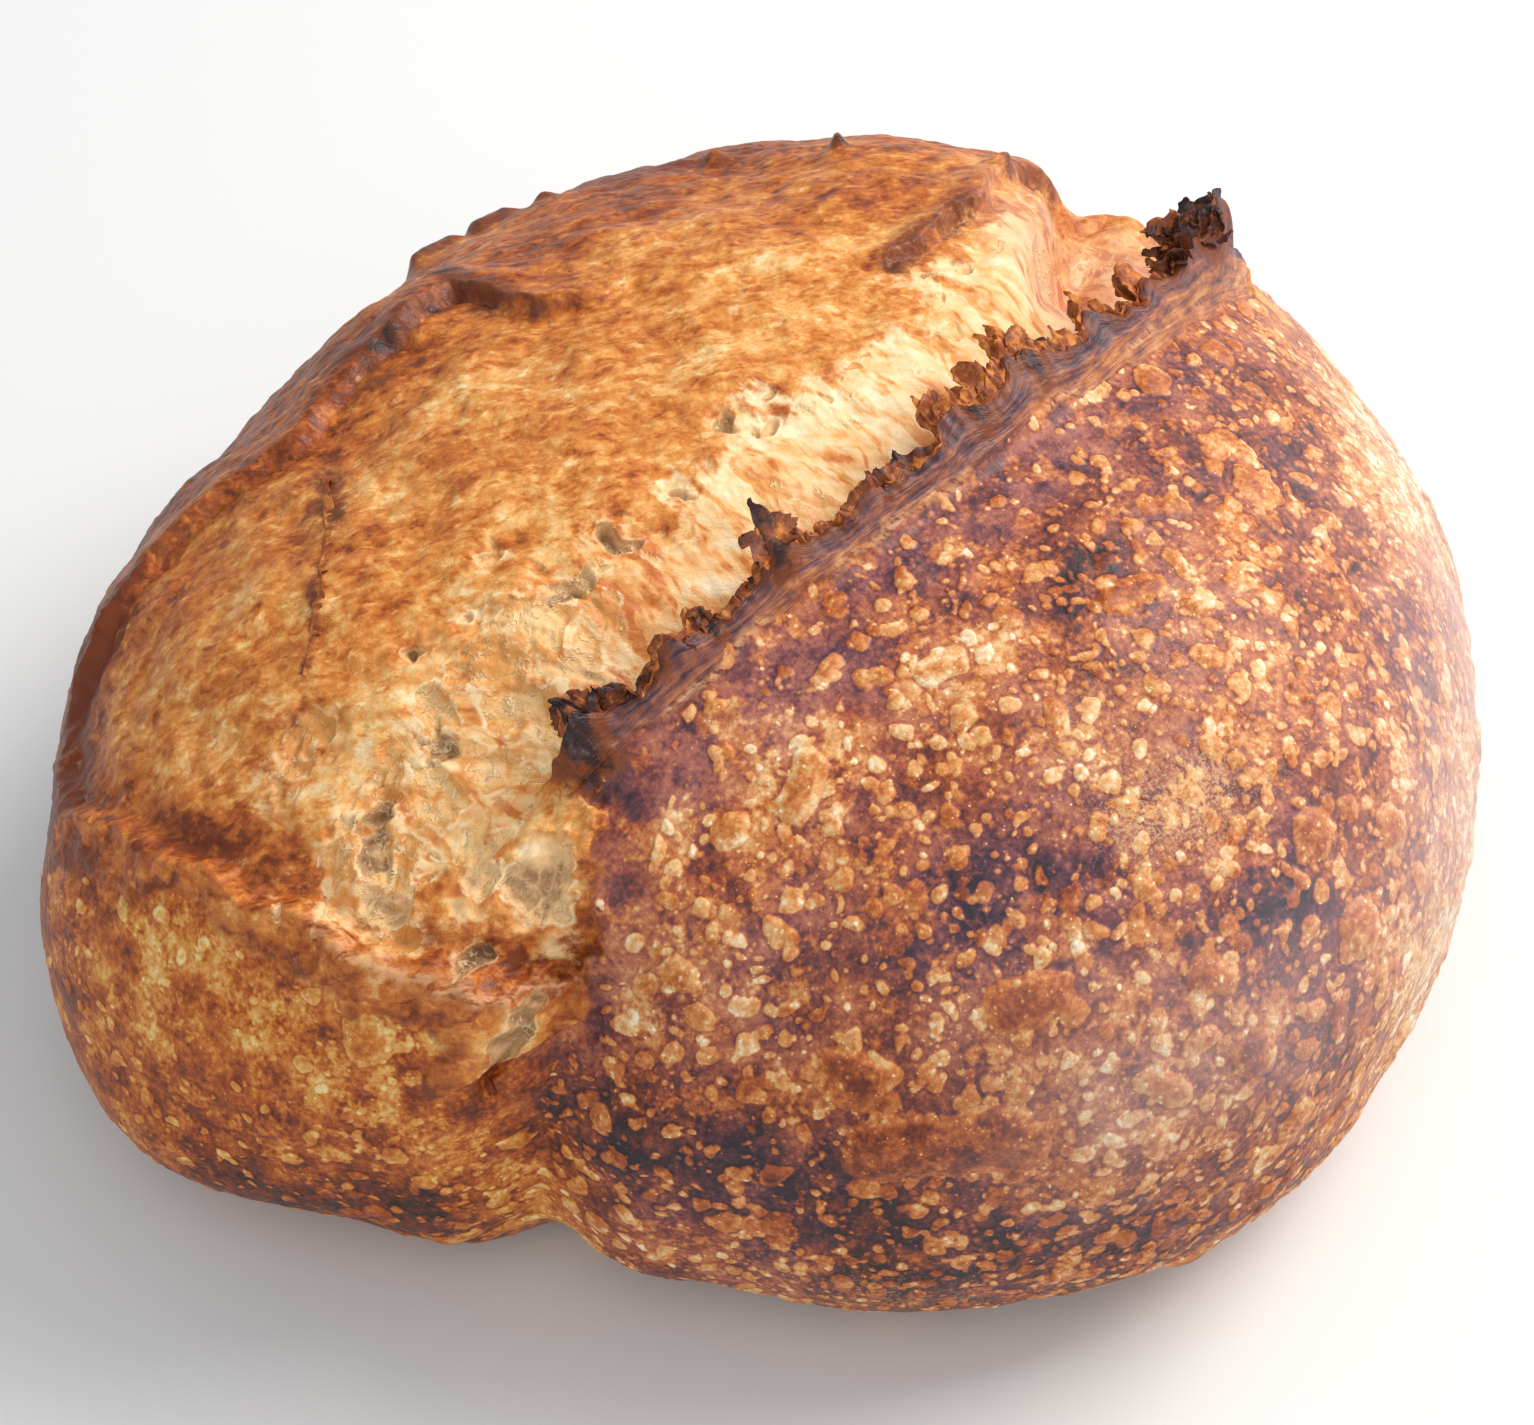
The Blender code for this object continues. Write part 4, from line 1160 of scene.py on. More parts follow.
@dataclass
class Ribbon:
    """A torn, crumpled ribbon standing on a path, as a thin closed sheet.

    Its height follows lumps along the path, torn by short waves. Each column's spine starts
    at a heading between across (0) and up (a quarter turn) and curls on its way to the tip.
    """

    name: str
    path: Path
    lumps: tuple                    # place along the path, half width, height
    least: float
    heading: float
    curl: float
    seed: int
    burn: tuple = (0.3, 0.8)        # at the root and at the tip
    scorch: Array | float = 1.0     # share of that burn, by place along the path
    sink: float = 0.8 * MM
    thickness: float = 0.5 * MM
    rows: int = 13
    crumple: float = 0.6 * MM

    def shape(self, run: Array) -> tuple[Array, Array]:
        """Points as columns of loops, and how far each is up the ribbon.

        Args:
            run: place of each column along the path.

        Returns:
            Points, and shares from 0 at the root to 1 at the tip.
        """
        grain = Grain(self.seed)
        line = on_x(run)
        height = np.full_like(run, self.least)
        for middle, half, high in self.lumps:
            height = np.maximum(height, high * hump((run - middle) / half))
        torn = 0.85 + 0.35 * grain.wave(line, 4.5 * MM) + 0.26 * grain.wave(line + 0.3, 1.6 * MM)
        torn = torn + 0.18 * grain.wave(line + 0.6, 0.7 * MM)
        height = height * np.clip(torn, 0.2, 1.5) * fade(run, run[0], run[0] + 2 * MM)
        height = height * fade(-run, -run[-1], -run[-1] + 2 * MM)
        share = np.linspace(0, 1, self.rows)
        turn = self.heading + 0.9 * grain.wave(line + 0.1, 6 * MM)[:, None]
        bent = self.curl * (0.7 + 0.9 * grain.wave(line + 0.2, 4 * MM))[:, None]
        angle = turn + bent * share ** 1.3
        step = (height + self.sink)[:, None] / (self.rows - 1)
        out, high = (np.cumsum(way(angle) * step, axis=1) - way(angle[:, :1]) * self.sink
                     for way in (np.cos, np.sin))
        climb = 0.6 * share[None] * height[:, None]
        sheet = np.stack([run[:, None] + 0 * angle, climb, 0 * angle], axis=-1)
        pleats = grain.waves(line + 0.8, 1.5 * MM, 3)[:, None] * share ** 0.5 * 1.3
        lift = (grain.waves(sheet, 2.0 * MM, 3) * share ** 0.7 * 2.4 + pleats) * self.crumple
        slide = grain.waves(sheet + 0.4, 3 * MM, 2) * self.crumple * share * 2.5
        thick = self.thickness * (1 - 0.6 * share) * 0.5
        side = np.stack([-np.sin(angle), np.cos(angle)], axis=-1)
        faces = []
        for sign, order in ((1, slice(None)), (-1, slice(None, None, -1))):
            off = (lift + sign * thick)[..., None] * side
            flat = np.stack([out, high], axis=-1) + off
            point = (self.path.places[:, None] + flat[..., :1] * self.path.across[:, None]
                     + flat[..., 1:] * self.path.up[:, None]
                     + slide[..., None] * self.path.along[:, None])
            faces.append(lean_away(point)[:, order])
        shares = np.concatenate([share, share[::-1]])
        return np.concatenate(faces, axis=1), np.broadcast_to(shares, (len(run), 2 * self.rows))

    def build(self, finish: Material) -> Piece:
        """Makes the ribbon: quads between neighbouring loops and a fan on each end."""
        run = way_along(self.path.places)
        points, share = self.shape(run)
        count, loop = points.shape[:2]
        ends = np.stack([points[0].mean(axis=0), points[-1].mean(axis=0)])
        flat = np.concatenate([points.reshape(-1, 3), ends])
        line = on_x(run)
        burn = (self.burn[0] + (self.burn[1] - self.burn[0]) * share) * self.scorch
        burn = burn + 0.3 * Grain(self.seed).waves(line + 0.5, 7 * MM)[:, None]
        marks = {"burn": np.concatenate([burn.ravel(), self.burn])}
        return make_piece(self.name, flat, tube_faces(count, loop), finish, marks=marks)


@dataclass
class Fringe:
    """The torn edges that stand off the loaf: on the ear's lip and along the scar."""

    loaf: Loaf
    gap: float = 0.22 * MM
    span: tuple = mm(-71, 85)
    outer: tuple = mm(  # x along the lip, half width, height
        (-69, 4, 4.0), (-63, 4, 5.0), (-57, 3, 2.6), (-45, 3, 4.0), (-31, 3.4, 7.5), (-26, 4, 4.5),
        (-9, 5, 3.4), (-3, 4, 3.6), (10, 6, 3.4), (20, 6, 4.4), (30, 6, 4.6), (47, 7, 2.4), (60, 6, 2.4),
        (70, 4, 5.0), (78, 4, 5.5),
    )
    inner: tuple = mm(  # the same for the two ribbons on the bloom's side
        (-67, 4, 3.6), (-61, 3, 3.2), (-46, 3, 3.8), (-30, 4, 5.5), (-8, 6, 3.0), (7, 6, 5.0),
        (16, 6, 6.4), (26, 6, 6.6), (35, 5, 4.4), (46, 7, 4.8), (58, 7, 4.8), (71, 4, 5.0),
    )
    scorch: tuple = part_mm(1,  # x along the lip, how scorched the edge is
        (-72, 1.0), (-60, 0.9), (-51, 0.4), (-44, 0.8), (-38, 0.35), (-33, 0.9), (-25, 0.5), (-14, 0.35),
        (-4, 0.8), (3, 0.35), (12, 0.25), (24, 0.3), (31, 0.7), (37, 0.4), (44, 0.05), (60, 0.05),
        (67, 0.7), (71, 1.0),
    )
    folds: tuple = (                # name, stops seen from above, height, burn at root and tip
        ("scar", mm((-53, 57), (-62, 46), (-75, 35), (-84, 28)),
         1.3 * MM, (0.02, 0.16)),
    )
    fold_seed: int = 51

    def lip_ribbon(self, name: str, lumps: tuple, least: float, heading: float, curl: float,
                   seed: int, burn: tuple) -> Ribbon:
        """A ribbon along the lip, its lumps given by their X."""
        path = Path.on_lip(self.loaf, *self.span, self.gap)
        x = path.places[:, 0] + self.loaf.dough.middle[0]
        run = way_along(path.places)
        placed = tuple((float(np.interp(at, x, run)), half, high) for at, half, high in lumps)
        scorch = np.interp(x, *np.array(self.scorch).T)[:, None]
        return Ribbon(name, path, placed, least, heading, curl, seed, burn, scorch)

    def build(self, finish: Material) -> list[Piece]:
        """Makes the lip's three ribbons and one for each fold."""
        ribbons = [
            self.lip_ribbon(*row) for row in (
                ("ear_fringe_outer", self.outer, 1.2 * MM, 62 * DEG, -50 * DEG, 41, (0.4, 0.95)),
                ("ear_fringe_inner", self.inner, 1.2 * MM, 34 * DEG, -30 * DEG, 43, (0.5, 0.2)),
                ("ear_fringe_lower", self.inner, 0.9 * MM, 8 * DEG, -20 * DEG, 47, (0.3, 0.0)),
            )
        ]
        for number, (name, stops, height, burn) in enumerate(self.folds):
            path = Path.on_crown(self.loaf, stops, self.gap * 1.5)
            count = int(len(path.places) * self.gap / (3 * MM))
            lumps = tuple((at * 5 * MM, 4 * MM, height) for at in range(count))
            ribbons.append(Ribbon(name, path, lumps, height * 0.6, 10 * DEG, -30 * DEG,
                                  self.fold_seed + number, burn))
        return [ribbon.build(finish) for ribbon in ribbons]


@dataclass
class Flakes:
    """Charred flakes that curl off the ear's lip, and the tuft near its far end."""

    loaf: Loaf
    large: tuple = (                # x, length, width in mm, heading, curl, turn in degrees
        (-70, 5.5, 3.6, 20, -70, 10), (-66, 6.0, 4.6, 55, -90, -20), (-62, 4.5, 4.0, 70, -60, 15),
        (-45, 5.0, 3.0, 80, -80, -25), (-33, 7.0, 5.0, 80, -115, -15), (-30, 5.5, 5.5, 65, -70, 10),
        (-5, 3.6, 3.6, 50, -30, 10), (17, 5.0, 4.0, 60, -50, 10), (28, 5.6, 4.0, 70, -70, 0),
    )
    small_count: int = 44
    span: tuple = mm(-72, 84)
    tuft_lobes: tuple = mm(  # x, spread, how far below the lip the roots start
        (69.5, 1.8, 4.0), (74, 2.4, 2.0), (79, 2.0, 5.0),
    )
    tuft_count: int = 66
    thickness: float = 0.45 * MM
    rows: int = 13
    loop: int = 14
    seed: int = 31

    def flake(self, x: float, length: float, width: float, heading: float, curl: float,
              turn: float, draw: np.random.Generator, lower: float = 0.0) -> tuple[Array, Array]:
        """One curled flake, a flattened tube carried along a curling spine.

        The spine's heading turns evenly by `curl`; the half width is the width times a
        pointed taper and a ragged factor; a loop round the spine goes out as the cosine and
        over and under as the sine of its angle, and the sides cup upwards.

        Args:
            x: place of the root along the lip.
            length: length of the spine.
            width: width at the root.
            heading: angle of the spine at its root, up from across the slash.
            curl: how far that angle turns on the way to the tip.
            turn: how far the flake is turned about the upright.
            draw: random draws for the ragged edge.
            lower: how far below the lip the root lies.

        Returns:
            Points as rows of loops, and how burnt each is.
        """
        path = Path.on_lip(self.loaf, x, x + MM, MM)
        at, along, across, up = path.places[0], path.along[0], path.across[0], path.up[0]
        out = across * np.cos(turn) + along * np.sin(turn)
        side = along * np.cos(turn) - across * np.sin(turn)
        share = np.linspace(0, 1, self.rows)
        angle = heading + curl * share ** 1.3
        step = length / (self.rows - 1)
        spine = np.cumsum(np.stack([np.cos(angle), np.sin(angle)], axis=-1) * step, axis=0)
        spine = spine - spine[0] - np.array([0.9 * MM, 1.0 * MM + lower])
        jag = 1 + 0.4 * draw.normal(size=(self.rows, 2)).cumsum(axis=0) / np.sqrt(self.rows)
        jag = jag + 0.22 * draw.normal(size=(self.rows, 2))
        taper = np.sqrt(np.clip(1.02 - share ** 3.2, 0.02, 1))
        around = np.linspace(0, 2 * np.pi, self.loop, endpoint=False)
        ragged = np.where(np.cos(around)[None] > 0, jag[:, :1], jag[:, 1:])
        half = 0.5 * width * taper[:, None] * np.clip(ragged, 0.25, 1.7) * np.cos(around)[None]
        cup = (half / (0.5 * width)) ** 2 * 0.3 * width * draw.uniform(-0.6, 1.0)
        bumps = draw.normal(size=(self.rows, self.loop)) * 0.22 * MM
        over = np.sin(around)[None] * self.thickness * 0.5 * (1 - 0.5 * share[:, None]) + cup + bumps
        normal = np.stack([-np.sin(angle), np.cos(angle)], axis=-1)
        flat = spine[:, None] + normal[:, None] * over[..., None]
        point = at + flat[..., :1] * out + flat[..., 1:] * up + half[..., None] * side
        heat = (0.4 + 0.8 * share) * np.interp(x, *np.array(Fringe.scorch).T)
        return lean_away(point), np.broadcast_to(heat[:, None], half.shape)

    def gather(self, sheets: list[tuple[Array, Array]], burn: float) -> tuple[Array, list[Array], dict]:
        """Joins flakes into arrays: loops of quads with a fan closing both ends of each."""
        points, quads, fans, marks, count = [], [], [], [], 0
        sides, root, tip = tube_faces(self.rows, self.loop, turned=True)
        for point, heat in sheets:
            ends = np.stack([point[0].mean(axis=0), point[-1].mean(axis=0)])
            points.append(np.concatenate([point.reshape(-1, 3), ends]))
            marks.append(burn * np.concatenate([heat.ravel(), heat[[0, -1], 0]]))
            quads.append(sides + count)
            fans.append(np.concatenate([root, tip]) + count)
            count += self.rows * self.loop + 2
        return (np.concatenate(points), [np.concatenate(quads), np.concatenate(fans)],
                {"burn": np.concatenate(marks)})

    def edge_flakes(self) -> list[tuple[Array, Array]]:
        """The large flakes, and small ones drawn at random along the lip."""
        draw = np.random.default_rng(self.seed)
        sheets = [self.flake(*mm(*row[:3]), *(angle * DEG for angle in row[3:]), draw)
                  for row in self.large]
        for _ in range(self.small_count):
            x = draw.uniform(*self.span)
            length = draw.uniform(1.2, 2.6) * MM
            width = draw.uniform(0.8, 2.2) * MM
            heading, curl = draw.uniform(10, 85) * DEG, draw.uniform(-80, 20) * DEG
            sheets.append(self.flake(x, length, width, heading, curl, draw.uniform(-40, 40) * DEG, draw))
        return sheets

    def tuft_flakes(self) -> list[tuple[Array, Array]]:
        """The tuft: flakes crowded on three lobes, standing up and curling both ways."""
        draw = np.random.default_rng(self.seed + 1)
        sheets = []
        for number in range(self.tuft_count):
            middle, spread, below = self.tuft_lobes[number % 3]
            x = middle + draw.normal() * spread
            length = draw.uniform(3.0, 7.0) * MM
            width = draw.uniform(1.8, 4.6) * MM
            heading, curl = draw.uniform(20, 150) * DEG, draw.uniform(-120, 90) * DEG
            sheets.append(self.flake(x, length, width, heading, curl, draw.uniform(-80, 80) * DEG, draw,
                                     draw.uniform(0, 1) * below))
        return sheets

    def build(self, finish: Material) -> list[Piece]:
        """Makes the lip's flakes and the tuft as two pieces."""
        made = []
        groups = (("ear_flakes", self.edge_flakes(), 0.6), ("ear_tuft", self.tuft_flakes(), 0.62))
        for name, sheets, burn in groups:
            points, faces, marks = self.gather(sheets, burn)
            made.append(make_piece(name, points, faces, finish, marks=marks))
        return made


def tint(red: int, green: int, blue: int) -> tuple[float, float, float, float]:
    """Linear colour of a screen colour given as 0 to 255."""
    parts = [value / 255 for value in (red, green, blue)]
    return tuple(part / 12.92 if part < 0.04045 else ((part + 0.055) / 1.055) ** 2.4
                 for part in parts) + (1.0,)


def tones(*stops: tuple[float, int, int, int]) -> tuple:
    """Stops of a colour ramp: each a place from 0 to 1 and a screen colour."""
    return tuple((place, tint(*colour)) for place, *colour in stops)


class Sheet:
    """A node tree being filled, with one short call for each kind of node."""

    def __init__(self, tree: bpy.types.NodeTree) -> None:
        """Takes the tree to fill."""
        self.tree = tree

    def node(self, kind: str, feeds: dict[str | int, object] | None = None,
             **settings: object) -> Node:
        """Adds a node, sets its properties and feeds its inputs."""
        made = self.tree.nodes.new(kind)
        for name, value in settings.items():
            setattr(made, name, value)
        for slot, value in (feeds or {}).items():
            self.feed(made, slot, value)
        return made

    def feed(self, node: Node, slot: str | int, value: object) -> None:
        """Links a socket to a node's input, or sets the input to a plain value."""
        if isinstance(value, Socket):
            self.tree.links.new(value, node.inputs[slot])
        else:
            node.inputs[slot].default_value = value

    def mask(self, name: str) -> Socket:
        """One of the loaf's masks."""
        return self.node("ShaderNodeAttribute", attribute_name=name).outputs["Fac"]

    def place(self) -> Socket:
        """Object coordinates, in metres."""
        return self.node("ShaderNodeTexCoord").outputs["Object"]

    def sum(self, kind: str, first: object, second: object = 0.0, third: object = 0.0,
            clamp: bool = False) -> Socket:
        """A Math node of that kind."""
        feeds = {0: first, 1: second, 2: third}
        return self.node("ShaderNodeMath", feeds, operation=kind, use_clamp=clamp).outputs[0]

    def plus(self, first: object, second: object) -> Socket:
        """Sum of two values."""
        return self.sum("ADD", first, second)

    def minus(self, first: object, second: object) -> Socket:
        """First value less the second."""
        return self.sum("SUBTRACT", first, second)

    def times(self, first: object, second: object) -> Socket:
        """Product of two values."""
        return self.sum("MULTIPLY", first, second)

    def scaled(self, value: object, by: object, plus: object) -> Socket:
        """Value times a factor, plus a third value."""
        return self.sum("MULTIPLY_ADD", value, by, plus)

    def mixed(self, start: object, *parts: tuple[object, float]) -> Socket:
        """A value, plus each other value times its factor."""
        for value, by in parts:
            start = self.scaled(value, by, start)
        return start

    def step(self, value: object, low: float, high: float, bottom: float = 0.0,
             top: float = 1.0) -> Socket:
        """Smooth step from bottom to top between low and high."""
        feeds = dict(enumerate((value, low, high, bottom, top)))
        return self.node("ShaderNodeMapRange", feeds, interpolation_type="SMOOTHSTEP").outputs[0]

    def blend(self, share: object, first: object, second: object,
              way: str = "MIX") -> Socket:
        """Mix of two colours."""
        feeds = {0: share, 6: first, 7: second}
        return self.node("ShaderNodeMix", feeds, data_type="RGBA", blend_type=way,
                         clamp_factor=True).outputs[2]

    def ramp(self, value: object, stops: tuple) -> Socket:
        """Colour ramp through (place, colour) stops."""
        made = self.node("ShaderNodeValToRGB")
        band = made.color_ramp.elements
        while len(band) < len(stops):
            band.new(0.5)
        for element, (place, colour) in zip(band, stops):
            element.position = place
            element.color = colour
        self.feed(made, 0, value)
        return made.outputs[0]

    def noise(self, place: object, length: float, detail: float = 2.0,
              rough: float = 0.5) -> Socket:
        """Noise from 0 to 1 whose waves are `length` millimetres long."""
        feeds = {"Vector": place, "Scale": 1 / (length * MM), "Detail": detail, "Roughness": rough}
        return self.node("ShaderNodeTexNoise", feeds).outputs["Fac"]

    def warp(self, place: object, length: float, amount: float) -> Socket:
        """Places pushed about by coloured noise, with its length and amount in millimetres."""
        feeds = {"Vector": place, "Scale": 1 / (length * MM), "Detail": 1.0}
        made = self.node("ShaderNodeTexNoise", feeds)
        feeds = {0: made.outputs["Color"], 1: (amount * MM,) * 3, 2: place}
        return self.node("ShaderNodeVectorMath", feeds, operation="MULTIPLY_ADD").outputs[0]

    def dots(self, place: object, cell: float) -> tuple[Socket, tuple]:
        """Distance to the nearest random point, in cells of that many millimetres, and three
        random numbers for it."""
        made = self.node("ShaderNodeTexVoronoi", {"Vector": place, "Scale": 1 / (cell * MM)})
        split = self.node("ShaderNodeSeparateColor", {0: made.outputs["Color"]})
        return made.outputs["Distance"], tuple(split.outputs)

    def flow(self, place: object, bearing: float, stretch: Place) -> Socket:
        """Places turned by a bearing about Z and then scaled along each axis."""
        feeds = {"Vector": place, "Rotation": (0.0, 0.0, -bearing)}
        turn = self.node("ShaderNodeMapping", feeds, vector_type="POINT")
        feeds = {"Vector": turn.outputs[0], "Scale": stretch}
        return self.node("ShaderNodeMapping", feeds, vector_type="POINT").outputs[0]


class Group:
    """A shader node group with named inputs and outputs, built once."""

    def __init__(self, name: str, takes: tuple, gives: tuple) -> None:
        """Makes the group's tree and sockets.

        Args:
            name: the group's name.
            takes: (name, kind) of each input, kind being "Float" or "Color".
            gives: (name, kind) of each output.
        """
        self.tree = bpy.data.node_groups.new(name, "ShaderNodeTree")
        for way, sockets in (("INPUT", takes), ("OUTPUT", gives)):
            for label, kind in sockets:
                self.tree.interface.new_socket(label, in_out=way, socket_type="NodeSocket" + kind)
        self.sheet = Sheet(self.tree)
        self.input = self.sheet.node("NodeGroupInput").outputs
        self.output = self.sheet.node("NodeGroupOutput")

    def give(self, **values: object) -> "Group":
        """Sets the outputs and returns the group."""
        for name, value in values.items():
            self.sheet.feed(self.output, name, value)
        return self

    def put(self, sheet: Sheet, **values: object) -> dict[str, Socket]:
        """Places the group in a material, with its own values, and returns its outputs."""
        made = sheet.node("ShaderNodeGroup", node_tree=self.tree)
        for name, value in values.items():
            sheet.feed(made, name.replace("_", " "), value)
        return {socket.name: socket for socket in made.outputs}


@dataclass(frozen=True)
class CrustColours:
    """Colours of the old crust, scorched to pale, with its flour."""

    warm: tuple = tones((0.0, 46, 30, 32), (0.16, 88, 42, 34), (0.32, 132, 60, 30), (0.47, 176, 88, 38),
                        (0.62, 208, 126, 58), (0.78, 230, 172, 108), (0.9, 240, 204, 156),
                        (1.0, 250, 230, 200))
    plum: tuple = tones((0.0, 48, 40, 50), (0.16, 82, 52, 62), (0.32, 122, 70, 72), (0.47, 162, 96, 84),
                        (0.62, 184, 116, 92), (0.78, 218, 156, 116), (0.9, 238, 196, 148),
                        (1.0, 248, 224, 190))
    flour: tuple = tint(232, 200, 150)
    # pale bluish grey of the painted sheen on the crust and of the painted shade on the far crumb
    haze: tuple = tint(204, 188, 190)
    honey: tuple = tint(250, 238, 190)
    # colour of the painted highlight along the near-end fold and the ear's crease
    painted_highlight: tuple = tint(240, 180, 128)
    heel: tuple = tones((0.0, 196, 138, 86), (0.5, 158, 98, 56), (1.0, 92, 54, 34))
    dots: tuple = (                 # cell in mm, least and most radius, share, paler by, height in mm
        (4.4, 0.16, 0.36, 0.9, 0.10, 0.12),
        (2.3, 0.14, 0.34, 0.95, 0.16, 0.16),
        (1.25, 0.14, 0.32, 0.8, 0.22, 0.0),
        (0.68, 0.12, 0.28, 0.42, 0.30, 0.0),
    )


@dataclass(frozen=True)
class BloomColours:
    """Colours of the torn bloom: golden skin, pale crumb and the inside of open bubbles."""

    skin: tuple = tones((0.0, 120, 54, 22), (0.2, 168, 84, 32), (0.4, 200, 114, 46),
                        (0.58, 222, 144, 68), (0.78, 240, 182, 110), (1.0, 250, 218, 166))
    crumb: tuple = tones((0.0, 204, 114, 48), (0.28, 233, 160, 86), (0.55, 245, 196, 134),
                         (1.0, 253, 228, 186))
    # inside of open bubbles from amber to grey-tan; the darkest stops are painted shade in the hollow
    hollow: tuple = tones((0.0, 222, 150, 76), (0.22, 240, 188, 120), (0.42, 243, 203, 146),
                          (0.62, 216, 174, 124), (0.82, 172, 132, 92), (1.0, 126, 90, 60))
    web: tuple = tint(250, 220, 170)


@dataclass(frozen=True)
class CharColours:
    """Colours of burnt edges, from scorched to black with a blue sheen."""

    scorched: tuple = tint(128, 66, 36)
    black: tuple = tint(54, 35, 32)
    sheen: tuple = tint(94, 70, 74)
    rust: tuple = tint(164, 84, 38)
    amber: tuple = tint(212, 130, 56)
    band: tuple = tones((0.0, 66, 46, 56), (0.26, 112, 70, 70), (0.46, 150, 92, 74),
                        (0.66, 182, 112, 70), (1.0, 214, 154, 106))


